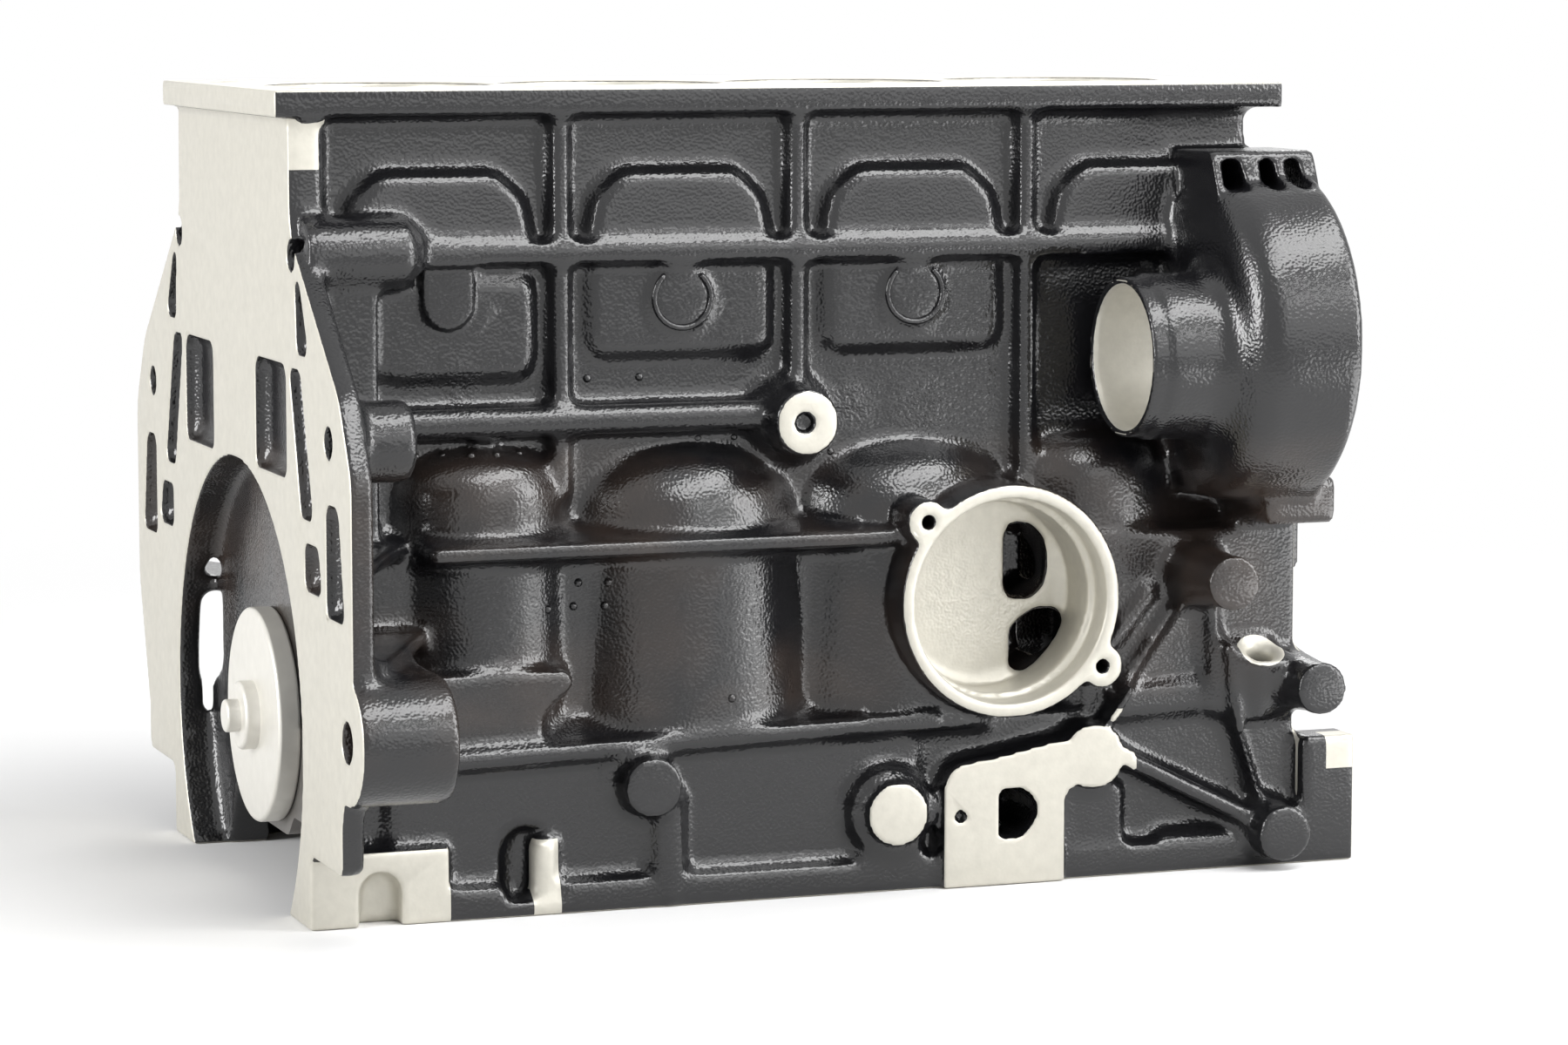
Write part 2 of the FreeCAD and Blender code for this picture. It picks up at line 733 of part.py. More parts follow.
def skirt_bosses():
    """Round bosses, the machined round pad and the machined plate along the near skirt."""
    depth = SKIRT_HALF_WIDTH - 4
    plain_x = BORE_X[1] - 20
    pad_x = MAIN_X[2] + 27.5
    plain = round_boss(plain_x, CRANK_Z - 16, 10.3, depth, RIB_HALF_WIDTH + 28)
    stem = cylinder((plain_x + 8.5, -SKIRT_HALF_WIDTH - 4.5, 2), 6, CRANK_Z - 22, Z_AXIS)
    collar = round_boss(pad_x, CRANK_Z - 31, 16, depth, RIB_HALF_WIDTH + 22)
    pad = round_boss(pad_x, CRANK_Z - 31, 11.3, depth, RIB_HALF_WIDTH + 28)
    shelf = box(
        (pad_x - 11, pad_x + 13),
        (-RAIL_HALF_WIDTH, -depth),
        (RAIL_THICKNESS - 1, RAIL_THICKNESS + 3),
    )
    plate = prism(
        "xz",
        [
            (PLATE_X, 0),
            (PLATE_X + 47, 0),
            (PLATE_X + 47, CRANK_Z - 27, 6),
            (LOBE[0] - 1, LOBE[1] - 8, 2),
            (LOBE[0], LOBE[1] + 8, 3),
            (PLATE_X + 42, CRANK_Z - 9, 8),
            (PLATE_X + 22, CRANK_Z - 13, 8),
            (PLATE_X, CRANK_Z - 16, 10),
        ],
        -PLATE_OUT,
        -depth,
    )
    lobe = round_boss(*LOBE, 11.8, depth, PLATE_OUT)
    beside = box(
        (PLATE_X + 47, PLATE_X + 72),
        (-RIB_HALF_WIDTH - 20, -depth),
        (0, CRANK_Z - 27),
    )
    return [plain, stem, collar, pad, shelf, plate, lobe, beside]


def arch_recess(x):
    """Arched recess above the sump rail that clears a sump bolt."""
    floor, crown = RAIL_THICKNESS - 6, RAIL_THICKNESS + 20
    corners = [(x - 11, floor), (x + 11, floor), (x + 11, crown, 10.9), (x - 11, crown, 10.9)]
    return prism("xz", corners, -SKIRT_HALF_WIDTH - 9, -SKIRT_HALF_WIDTH + 4)


def skirt_cuts():
    """Dipstick and drain openings of the machined plate, and the arched recess beside them."""
    hole = prism(
        "xz",
        [
            (PLATE_X + 21.5, CRANK_Z - 43, 2),
            (PLATE_X + 30, CRANK_Z - 43, 5),
            (PLATE_X + 36, CRANK_Z - 36, 6),
            (PLATE_X + 36, CRANK_Z - 30, 6),
            (PLATE_X + 31, CRANK_Z - 25, 5),
            (PLATE_X + 21.5, CRANK_Z - 25, 2),
        ],
        -PLATE_OUT - 1,
        -SKIRT_HALF_WIDTH + 20,
    )
    pin = cylinder((PLATE_X + 6.5, -PLATE_OUT - 1, CRANK_Z - 34), PIN_HOLE_RADIUS, 11, Y_AXIS)
    sensor = cylinder(
        (MAIN_X[2] - 3.5, -RIB_HALF_WIDTH - 17, GALLERY_Z - 3),
        3.4,
        20,
        Y_AXIS,
    )
    return [hole, pin, sensor]


def recess_post():
    """Round post that holds a sump bolt inside the arched recess."""
    return cylinder((MAIN_X[1] - 13, -RIB_HALF_WIDTH - 15, 1), 4.9, 25, Z_AXIS)


# Bracket mounting at the timing end


def bracket_bosses():
    """The three long bosses of the accessory bracket, each wider at its root."""
    shapes = []
    for x, z, radius, out in BRACKET_BOSSES:
        length = out - PANEL_HALF_WIDTH
        profile = [(0, 0), (0, radius + 4), (length - 9, radius), (length, radius), (length, 0)]
        shapes.append(turned(profile, (x, -PANEL_HALF_WIDTH, z), Y_AXIS * -1))
    return shapes


def bracket_field():
    """Ribbed field that carries the accessory bracket's bosses and its slanting bolt boss."""
    depth = PANEL_HALF_WIDTH
    top, low = BRACKET_BOSSES[0][:2], BRACKET_BOSSES[2][:2]
    join = (BREATHER_X + 42, CRANK_Z - 3)
    post_x = MAIN_X[-1] - 20
    rib_out = RIB_HALF_WIDTH + 24
    shapes = bracket_bosses()
    shapes.append(strut((top[0] - 4, top[1] - 4), join, 2.6, depth, rib_out))
    shapes.append(strut((top[0] - 17, top[1] - 5), (join[0] + 1, join[1] + 24), 4, depth, rib_out - 8))
    shapes.append(strut((join[0], join[1] - 10), low, 6, depth, rib_out))
    shapes.append(strut((join[0] + 22, 12), (low[0] - 6, low[1] - 2), 4, depth, rib_out - 6))
    shapes.append(strut((join[0] + 2, CRANK_Z + 2), (post_x + 3, CRANK_Z + 4), 10, depth, rib_out - 8))
    shapes.append(strut((post_x, CRANK_Z - 2), (post_x - 1, top[1] - 5), 4, depth, rib_out - 6))
    bend = (MAIN_X[-1] - 14, CRANK_Z - 2)
    shapes.append(strut((post_x + 3, CRANK_Z + 24), bend, 2.8, depth, rib_out))
    shapes.append(strut(bend, (low[0] - 3, low[1] + 8), 2.8, depth, rib_out))
    root = box((post_x, FRONT_X), (-RIB_HALF_WIDTH - 16, -depth), (CRANK_Z - 4, CRANK_Z + 18))
    end = FreeCAD.Vector(*BRACKET_HOLE)
    bolt_boss = Part.makeCylinder(9.5, 26, end - BRACKET_HOLE_AXIS * 26, BRACKET_HOLE_AXIS)
    corner_pad = box(
        (MAIN_X[-1] + 24, RAIL_FRONT_X),
        (-RAIL_HALF_WIDTH, -SKIRT_HALF_WIDTH),
        (CRANK_Z - 25, CRANK_Z - 13),
    )
    back = box((join[0] - 6, FRONT_X), (-RIB_HALF_WIDTH - 12.5, -depth), (CRANK_Z - 50, LEDGE_Z - 5))
    return shapes + [root, bolt_boss, corner_pad, back]


def bracket_cuts():
    """Slanting bolt hole of the bracket and the hollows between the low ribs."""
    end = FreeCAD.Vector(*BRACKET_HOLE)
    hole = Part.makeCylinder(5.0, 21, end - BRACKET_HOLE_AXIS * 20, BRACKET_HOLE_AXIS)
    seat = Part.makeCylinder(7.5, 4, end - BRACKET_HOLE_AXIS * 2.5, BRACKET_HOLE_AXIS)
    return [hole, seat]


# Far side


def far_side_bosses():
    """Engine-mount bosses and the oil-filter pad on the far side."""
    shapes = []
    out = RIB_DEPTH + 20
    for x, z in FAR_BOSSES:
        shapes.append(cylinder((x, PANEL_HALF_WIDTH, z), 11, out, Y_AXIS))
    shapes.append(cylinder((FILTER[0], PANEL_HALF_WIDTH, FILTER[1]), 36, out + 2, Y_AXIS))
    for x in BORE_X:
        shapes.append(
            cylinder((x, PANEL_HALF_WIDTH - 4, RIB_Z - 24), CORE_PLUG_RADIUS + 5, 7.5, Y_AXIS)
        )
    return shapes


def far_side_cuts():
    """Bolt holes, oil-filter passages and core-plug holes of the far side."""
    cuts = []
    out = RIB_HALF_WIDTH + 21
    for x, z in FAR_BOSSES:
        cuts.append(cylinder((x, out, z), 4.2, -20, Y_AXIS))
    cuts.append(cylinder((FILTER[0], out + 2, FILTER[1]), 9, -16, Y_AXIS))
    cuts.append(cylinder((FILTER[0] + 22, out + 2, FILTER[1] + 8), 5, -16, Y_AXIS))
    for x in BORE_X:
        cuts.append(cylinder((x, PANEL_HALF_WIDTH + 5, RIB_Z - 24), CORE_PLUG_RADIUS, -18, Y_AXIS))
    return cuts


# Inside of the casting


def cylinder_bores():
    """The four cylinders, with the chamfer that leads the piston rings in."""
    cuts = []
    for x in BORE_X:
        cuts.append(cylinder((x, 0, DECK_Z + 1), BORE_RADIUS, -BORE_LENGTH - 2, Z_AXIS))
        chamfer = turned(
            [
                (0, 0),
                (0, BORE_RADIUS),
                (BORE_CHAMFER, BORE_RADIUS + BORE_CHAMFER),
                (BORE_CHAMFER, 0),
            ],
            (x, 0, DECK_Z - BORE_CHAMFER),
            Z_AXIS,
        )
        cuts.append(chamfer)
    return cuts


def water_jacket():
    """Coolant space around the joined cylinders, closed by the deck."""
    outer = PANEL_HALF_WIDTH - JACKET_WALL
    low, high = MAIN_X[0] + 1, MAIN_X[-1] - 1
    corners = [(low, -outer, 30), (high, -outer, 30), (high, outer, 30), (low, outer, 30)]
    space = prism("xy", corners, JACKET_FLOOR_Z, JACKET_ROOF_Z)
    keep = []
    for x in BORE_X:
        wall = BORE_RADIUS + CYLINDER_WALL
        keep.append(cylinder((x, 0, JACKET_FLOOR_Z - 1), wall, REACH / 2, Z_AXIS))
    for x in MAIN_X:
        for y in (-HEAD_BOLT_HALF_SPACING, HEAD_BOLT_HALF_SPACING):
            keep.append(cylinder((x, y, JACKET_FLOOR_Z - 1), HEAD_BOLT_RADIUS + 6, REACH / 2, Z_AXIS))
    return space.cut(keep)


def crankcase_bays():
    """Open space between the main bearing webs in which the crankshaft turns."""
    wide = SKIRT_HALF_WIDTH - WALL - 3
    narrow = RIB_HALF_WIDTH - WALL - 1
    roof = DECK_Z - BORE_LENGTH
    section = [
        (-wide, -1),
        (wide, -1),
        (wide, SKIRT_TOP_Z - 14, 8),
        (narrow, SKIRT_TOP_Z - 2, 8),
        (narrow, LEDGE_Z - 22, 20),
        (BORE_RADIUS + 4, roof),
        (-BORE_RADIUS - 4, roof),
        (-narrow, LEDGE_Z - 22, 20),
        (-narrow, SKIRT_TOP_Z - 2, 8),
        (-wide, SKIRT_TOP_Z - 14, 8),
    ]
    bays = []
    for (low, low_width), (high, high_width) in zip(BEARINGS, BEARINGS[1:]):
        bays.append(prism("yz", section, low + low_width / 2, high - high_width / 2))
    return bays


def bearing_cuts():
    """Main bearing bore, the registers for the caps and the space below the webs."""
    bore = cylinder((REAR_X - 1, 0, CRANK_Z), MAIN_BORE_RADIUS, REACH, X_AXIS)
    register = box((REAR_X - 1, RAIL_FRONT_X + 1), (-CAP_HALF_WIDTH, CAP_HALF_WIDTH), (-1, CRANK_Z))
    below = prism(
        "yz",
        [
            (-CAP_HALF_WIDTH - 24, -1),
            (CAP_HALF_WIDTH + 24, -1),
            (CAP_HALF_WIDTH + 18, 14, 6),
            (CAP_HALF_WIDTH - 1, CRANK_Z - 12),
            (-CAP_HALF_WIDTH + 1, CRANK_Z - 12),
            (-CAP_HALF_WIDTH - 18, 14, 6),
        ],
        REAR_X - 1,
        RAIL_FRONT_X + 1,
    )
    front_space = prism(
        "yz",
        [
            (-SKIRT_HALF_WIDTH + 8, -1),
            (SKIRT_HALF_WIDTH - 8, -1),
            (SKIRT_HALF_WIDTH - 8, CRANK_Z, 10),
            (-SKIRT_HALF_WIDTH + 8, CRANK_Z, 10),
        ],
        FRONT_X,
        RAIL_FRONT_X + 1,
    )
    return [bore, register, below, front_space]


def cap_bolt_holes():
    """Threaded holes above each bearing cap."""
    cuts = []
    for x, width in BEARINGS:
        for y in (-CAP_BOLT_HALF_SPACING, CAP_BOLT_HALF_SPACING):
            cuts.append(cylinder((x, y, CRANK_Z - 1), CAP_BOLT_RADIUS, CAP_BOLT_REACH + 1, Z_AXIS))
    return cuts


def deck_holes():
    """Head-bolt holes and the coolant passages between deck and jacket."""
    cuts = []
    for x in MAIN_X:
        for y in (-HEAD_BOLT_HALF_SPACING, HEAD_BOLT_HALF_SPACING):
            cuts.append(cylinder((x, y, DECK_Z + 1), HEAD_BOLT_RADIUS, -HEAD_BOLT_DEPTH - 1, Z_AXIS))
    depth = DECK_Z - JACKET_ROOF_Z + 3
    for x in BORE_X:
        for side in (-1, 1):
            for dx in (-20, 20):
                y = side * (BORE_RADIUS + 13)
                cuts.append(cylinder((x + dx, y, DECK_Z + 1), 4.0, -depth, Z_AXIS))
    return cuts


def sump_holes():
    """Threaded holes along both sump rails."""
    y = RAIL_HALF_WIDTH - SUMP_BOLT_INSET
    cuts = []
    for step in range(-3, 4):
        for side in (-1, 1):
            centre = (step * SUMP_BOLT_PITCH, side * y, -1)
            cuts.append(cylinder(centre, SUMP_BOLT_RADIUS, SUMP_BOLT_DEPTH + 1, Z_AXIS))
    return cuts


def front_holes():
    """Threaded holes for the timing cover and the pump, and the oil gallery's front end."""
    cuts = []
    for y, z in [(-78, 108), (78, 108), (78, 20), (70, 150), (-40, 120), (40, 120)]:
        cuts.append(cylinder((RAIL_FRONT_X + 1, y, z), 3.4, -REACH / 8, X_AXIS))
    return cuts


def block_casting():
    """The whole casting: everything cast is joined first, then machined."""
    cast = upper_body() + crankcase_body() + wall_ribs() + upper_humps() + plug_pads()
    cast += barrels() + gallery_tube() + near_ledges() + far_ledge()
    cast += bell_housing_flange() + flange_bosses() + rear_foot()
    cast += pump_volute() + pump_spigot() + breather_boss()
    cast += skirt_bosses() + bracket_field() + far_side_bosses()
    body = cast[0].multiFuse(cast[1:])
    for stage in (
        cylinder_bores() + crankcase_bays() + bearing_cuts(),
        cap_bolt_holes() + deck_holes() + sump_holes() + front_holes(),
        pump_cuts() + breather_cuts(),
        skirt_cuts() + bracket_cuts() + flange_cuts() + far_side_cuts(),
        [water_jacket(), arch_recess(MAIN_X[1] - 17)],
    ):
        body = body.cut(stage)
    return body.fuse(recess_post())


# Separate pieces


def bearing_cap(x, thickness):
    """Lower half of one main bearing, with its two bolt holes."""
    half = thickness / 2
    wide = CAP_HALF_WIDTH
    seat = CAP_BOTTOM_Z + CAP_SHOULDER
    foot = MAIN_BORE_RADIUS * 0.6
    right = [
        (foot, CAP_BOTTOM_Z, CAP_SHOULDER),
        (CAP_BOLT_HALF_SPACING - BOLT_HEAD_RADIUS - 4, seat, 3),
        (wide, seat, 3),
        (wide, CRANK_Z),
    ]
    left = [(-p[0],) + p[1:] for p in reversed(right)]
    cap = prism("yz", left + right, x - half, x + half)
    cuts = [cylinder((x - half - 1, 0, CRANK_Z), MAIN_BORE_RADIUS, thickness + 2, X_AXIS)]
    for y in (-CAP_BOLT_HALF_SPACING, CAP_BOLT_HALF_SPACING):
        cuts.append(cylinder((x, y, 0), CAP_BOLT_RADIUS, CRANK_Z + 1, Z_AXIS))
    return cap.cut(cuts)


def hexagon(centre, radius, height):
    """Upright hexagonal head."""
    points = []
    for i in range(6):
        angle = math.pi / 3 * i
        points.append((centre[0] + radius * math.cos(angle), centre[1] + radius * math.sin(angle)))
    return prism("xy", points, centre[2], centre[2] + height)


def cap_bolts():
    """Hexagon-head bolts, two through each bearing cap into the web above."""
    bolts = []
    seat = CAP_BOTTOM_Z + CAP_SHOULDER
    for x, width in BEARINGS:
        for y in (-CAP_BOLT_HALF_SPACING, CAP_BOLT_HALF_SPACING):
            head = hexagon((x, y, seat - BOLT_HEAD_HEIGHT), BOLT_HEAD_RADIUS, BOLT_HEAD_HEIGHT)
            length = CRANK_Z + CAP_BOLT_REACH - 2 - seat
            bolts.append(head.fuse(cylinder((x, y, seat), CAP_BOLT_RADIUS, length, Z_AXIS)))
    return Part.makeCompound(bolts)


def core_plugs():
    """Pressed cups that close the core holes of the far side."""
    plugs = []
    inner = CORE_PLUG_RADIUS - CORE_PLUG_WALL
    for x in BORE_X:
        start = PANEL_HALF_WIDTH + 1.5 - CORE_PLUG_DEPTH
        profile = [
            (0, 0),
            (0, CORE_PLUG_RADIUS, 2),
            (CORE_PLUG_DEPTH, CORE_PLUG_RADIUS),
            (CORE_PLUG_DEPTH, inner),
            (CORE_PLUG_WALL, inner, 1),
            (CORE_PLUG_WALL, 0),
        ]
        plugs.append(turned(profile, (x, start, RIB_Z - 24), Y_AXIS))
    return Part.makeCompound(plugs)


def end_plug():
    """Turned plug in the rear main bearing: stub, hub, disc, neck and shank."""
    start = REAR_X - STUB_LENGTH
    face = REAR_WEB_X - start
    profile = [
        (0, 0),
        (0, STUB_RADIUS, 1),
        (STUB_LENGTH, STUB_RADIUS),
        (STUB_LENGTH, HUB_RADIUS, TURNED_EDGE),
        (face - DISC_THICKNESS, HUB_RADIUS),
        (face - DISC_THICKNESS, DISC_RADIUS, TURNED_EDGE),
        (face, DISC_RADIUS, TURNED_EDGE),
        (face, MAIN_BORE_RADIUS),
        (face + SHANK_LENGTH, MAIN_BORE_RADIUS, 1),
        (face + SHANK_LENGTH, 0),
    ]
    return turned(profile, (start, 0, CRANK_Z), X_AXIS)


def save(name, shape):
    """Writes one node's STEP file."""
    shape.exportStep(os.path.join("parts", name + ".step"))
    print(name, len(shape.Solids), shape.isValid(), round(shape.Volume))


def main():
    """Builds every piece and writes its STEP file."""
    os.makedirs("parts", exist_ok=True)
    save("block_casting", block_casting())
    for i, (x, width) in enumerate(BEARINGS):
        save(f"main_cap_{i + 1}", bearing_cap(x, width))
    save("main_cap_bolts", cap_bolts())
    save("core_plugs", core_plugs())
    save("end_plug", end_plug())


main()
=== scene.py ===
import json
import math

import bmesh
import bpy
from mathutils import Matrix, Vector
from mathutils.bvhtree import BVHTree


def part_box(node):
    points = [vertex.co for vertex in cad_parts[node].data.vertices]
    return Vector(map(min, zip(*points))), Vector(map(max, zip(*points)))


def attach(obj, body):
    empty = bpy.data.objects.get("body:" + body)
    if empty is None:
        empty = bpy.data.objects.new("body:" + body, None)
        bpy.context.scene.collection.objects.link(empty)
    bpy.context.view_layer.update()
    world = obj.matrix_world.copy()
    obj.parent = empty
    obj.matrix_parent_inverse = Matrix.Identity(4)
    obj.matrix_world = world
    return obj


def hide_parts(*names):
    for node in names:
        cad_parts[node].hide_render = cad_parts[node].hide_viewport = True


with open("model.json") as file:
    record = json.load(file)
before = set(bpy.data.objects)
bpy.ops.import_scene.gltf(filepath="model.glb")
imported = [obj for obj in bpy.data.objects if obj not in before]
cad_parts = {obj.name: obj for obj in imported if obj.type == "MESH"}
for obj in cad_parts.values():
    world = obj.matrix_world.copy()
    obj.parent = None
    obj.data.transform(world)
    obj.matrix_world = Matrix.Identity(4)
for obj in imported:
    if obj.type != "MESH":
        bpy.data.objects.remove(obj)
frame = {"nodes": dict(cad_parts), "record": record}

bl_info = {
    "name": "Engine Block",
    "version": (1, 0, 0),
    "blender": (4, 5, 0),
    "location": "View3D > Sidebar > Engine Block",
    "description": "Dresses a bare, painted in-line engine block and sets up a studio round it",
    "category": "Object",
}

# Places on the block in metres: those of its main faces are read from the frame, and the
# smaller forms are placed from them

MM = 0.001
MOUNTS = {m["name"]: m for m in frame["record"]["mounts"]}
BLOCK_LOW, BLOCK_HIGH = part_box("block_casting")
DECK_Z = MOUNTS["deck_face"]["pos_m"][2]
REAR_X = MOUNTS["bell_housing_face"]["pos_m"][0]
MAIN_SPAN = MOUNTS["head_bolts_outer"]["dims"]["spacing_x_mm"] * MM
BORE_PITCH = MAIN_SPAN / 4
MAIN_X = [(i - 2) * BORE_PITCH for i in range(5)]
BORE_X = [(i - 1.5) * BORE_PITCH for i in range(4)]
CRANK_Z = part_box("main_cap_3")[1].z
RAIL_FRONT_X = BLOCK_HIGH.x
FRONT_X = MAIN_X[-1] + 0.014
DECK_LIP = 0.0095
REAR_STEP = 0.005
BORE_RADIUS = 0.04125
BORE_DEPTH = 0.147
MAIN_BORE_RADIUS = 0.0295

# The near wall: how far out its faces stand, and the middle of its round forms

RIB_Y = -0.083
BREATHER_Y = -0.114
BREATHER_FLOOR_Y = -0.0814
BREATHER_BORE_RADIUS = 0.0378
PLATE_Y = -0.107
SKIRT_BOSS_Y = -0.111
BREATHER = (BORE_X[2] + 0.0256, CRANK_Z + 0.044)
PLATE_X = BREATHER[0] - 0.023
PLATE_TOP = CRANK_Z + 0.002
SENSOR_BOSS = (MAIN_X[2] - 0.0025, 0, CRANK_Z + 0.109)
SENSOR_BOSS_RADIUS = 0.014
SPIGOT = (MAIN_X[-1] - 0.064, -0.111, DECK_Z - 0.097)
SPIGOT_BORE_RADIUS = 0.0264
SPIGOT_RADIUS = 0.0295
BOLT_FACE = (MAIN_X[-1] - 0.004, -0.105, CRANK_Z + 0.021)
BOLT_FACE_RADIUS = 0.0088

# Along the block, height, radius and reach of the accessory bracket's round bosses
BRACKET_BOSSES = [
    (MAIN_X[-1] - 0.027, CRANK_Z + 0.049, 0.0098, 0.131),
    (MAIN_X[-1] + 0.0115, CRANK_Z + 0.008, 0.0095, 0.125),
    (MAIN_X[-1] + 0.001, CRANK_Z - 0.046, 0.0102, 0.118),
]

# Along the block, height and radius of the unused core plugs under the long rib
PLUG_RINGS = [
    (BORE_X[0] + 0.003, DECK_Z - 0.074, 0.0093),
    (BORE_X[1] + 0.0005, DECK_Z - 0.074, 0.0105),
    (BORE_X[2] + 0.0005, DECK_Z - 0.074, 0.0105),
]
PLUG_RING_WIRE = 0.0011
PLUG_RING_GAP = math.radians(40)

# Along the block and height of each row's first pip, the step to the next, and how many
PIP_RADIUS = 0.0017
PIP_ROWS = [
    (REAR_X + 0.0465, CRANK_Z + 0.0995, 0.0092, 5),
    (MAIN_X[1] + 0.0523, CRANK_Z + 0.1027, 0.0137, 2),
    (MAIN_X[1] + 0.0113, CRANK_Z + 0.125, 0.0193, 2),
    (MAIN_X[2] + 0.0147, CRANK_Z + 0.096, 0.01, 1),
    (MAIN_X[1] - 0.0077, CRANK_Z + 0.0455, 0.011, 3),
    (MAIN_X[1] + 0.0052, CRANK_Z + 0.0538, 0.0103, 2),
    (MAIN_X[1] + 0.0562, CRANK_Z + 0.0125, 0.01, 1),
]

# Middle, radius and strength of the places where the casting is rough under its paint
ROUGH_PLACES = [
    ((REAR_X + 0.063, RIB_Y, CRANK_Z + 0.123), 0.016, 0.5),
    ((REAR_X + 0.048, RIB_Y, CRANK_Z + 0.124), 0.014, 0.45),
    ((MAIN_X[2] + 0.022, RIB_Y, CRANK_Z + 0.113), 0.018, 0.6),
    ((MAIN_X[2] + 0.05, RIB_Y, CRANK_Z + 0.112), 0.022, 0.45),
    ((BREATHER[0], -0.078, BREATHER[1]), 0.036, 0.35),
]

# SKIN is how thick the layer is that counts as a machined face, GAP how much further out the
# sharp places are cut than the face, and CRISP how deep behind it; FAR is past every face
SKIN = 0.0005
GAP = 0.0015
CRISP = 0.0035
FAR = 1.0
MERGE = 1e-6

# Finishes: sizes of the noises, in waves a metre, and the least and greatest roughness
PEEL, CHIPS, GLOSS, LUMPS, CLOUDS = 950.0, 260.0, 90.0, 75.0, 22.0
PAINT_ROUGHNESS = (0.17, 0.25)
BARE_ROUGHNESS = 0.42
BARE_METALLIC = 0.4
BUMP_DISTANCE = 0.0009
PAINT_BUMP, BARE_BUMP = 0.2, 0.03

# Stage: where the camera stands, and how it looks down and round in degrees
CAMERA_PLACE = (-0.5863, -1.6777, 0.3266)
CAMERA_DOWN, CAMERA_ROUND = 6.54, -20
BLOCK_MIDDLE = (0, 0, 0.14)
AMBIENT = 0.35
FLOOR_FADE = (0.35, 1.1)

# Place, size and power of each lamp, and its turn in degrees where it doesn't face the block
LAMPS = {
    "right softbox": ((1.5, -1.0, 0.75), (0.7, 1.3), 20, None),
    "top softbox": ((0.6, -0.8, 1.7), (1.9, 0.7), 30, None),
    "front panel": ((0.75, -1.85, 0.69), (1.5, 1.0), 5, (90, 0, 0)),
    "front strip": ((0.95, -1.85, 1.35), (1.4, 0.3), 6, None),
    "floor card": ((0.87, -0.55, 0.004), (1.0, 0.8), 9, (180, 0, 0)),
    "left softbox": ((-2.0, -0.3, 0.8), (0.8, 1.2), 36, None),
    "back softbox": ((0.8, 2.0, 1.4), (1.0, 1.0), 12, None),
}


class CastingSizes(bpy.types.PropertyGroup):
    """Sizes and finishes of the painted casting."""

    grain: bpy.props.FloatProperty(
        name="Grain",
        description="Edge length of the cells that the rounded skin is made of",
        default=0.00125,
        min=0.0008,
        unit="LENGTH",
    )
    fillet: bpy.props.FloatProperty(
        name="Fillet",
        description="Radius of the cast fillets in inward corners",
        default=0.0021,
        unit="LENGTH",
    )
    edge: bpy.props.FloatProperty(
        name="Edge",
        description="Radius of the cast outward edges",
        default=0.0013,
        unit="LENGTH",
    )
    rounding: bpy.props.IntProperty(
        name="Rounding",
        description="Number of passes that even out the skin at last",
        default=2,
        min=0,
    )
    triangles: bpy.props.IntProperty(
        name="Triangles",
        description="Largest number of triangles of the finished skin",
        default=190000,
        min=10000,
    )
    paint: bpy.props.FloatVectorProperty(
        name="Paint",
        description="Colour of the gloss paint",
        default=(0.006, 0.006, 0.007),
        subtype="COLOR",
    )
    thin_paint: bpy.props.FloatVectorProperty(
        name="Thin paint",
        description="Colour of the paint where it lies thin over the iron",
        default=(0.034, 0.024, 0.019),
        subtype="COLOR",
    )
    bare: bpy.props.FloatVectorProperty(
        name="Bare metal",
        description="Colour of the machined faces",
        default=(0.61, 0.588, 0.518),
        subtype="COLOR",
    )


class PieceSizes(bpy.types.PropertyGroup):
    """Sizes and finishes of the separate pieces."""

    iron: bpy.props.FloatVectorProperty(
        name="Iron",
        description="Colour of the bearing caps",
        default=(0.22, 0.21, 0.20),
        subtype="COLOR",
    )
    bolt_steel: bpy.props.FloatVectorProperty(
        name="Bolt steel",
        description="Colour of the oiled cap bolts",
        default=(0.09, 0.085, 0.08),
        subtype="COLOR",
    )
    bright_steel: bpy.props.FloatVectorProperty(
        name="Bright steel",
        description="Colour of the turned plug at the bell-housing end",
        default=(0.78, 0.76, 0.70),
        subtype="COLOR",
    )
    edge: bpy.props.FloatProperty(
        name="Edge",
        description="Rounding of the bearing caps' edges",
        default=0.0008,
        unit="LENGTH",
    )


class StageSizes(bpy.types.PropertyGroup):
    """Floor, camera and lamps."""

    floor_half: bpy.props.FloatProperty(
        name="Floor half width",
        description="Half the width of the pale floor",
        default=6.0,
        unit="LENGTH",
    )
    floor_colour: bpy.props.FloatVectorProperty(
        name="Floor colour",
        description="Colour of the floor near the block",
        default=(0.86, 0.86, 0.86),
        subtype="COLOR",
    )
    lens: bpy.props.FloatProperty(
        name="Lens",
        description="Focal length of the camera in millimetres",
        default=110.0,
    )


# Node helpers


def put(nodes, kind, **settings):
    """Adds a node and sets its properties."""
    node = nodes.new(kind)
    for key, value in settings.items():
        setattr(node, key, value)
    return node


def feed(tree, socket, value):
    """Links value to socket where it is a socket, or writes it there."""
    if isinstance(value, bpy.types.NodeSocket):
        tree.links.new(value, socket)
    else:
        socket.default_value = value


def sums(tree, operation, *values):
    """A Math node on up to three values."""
    node = put(tree.nodes, "ShaderNodeMath", operation=operation)
    for socket, value in zip(node.inputs, values):
        feed(tree, socket, value)
    return node.outputs[0]


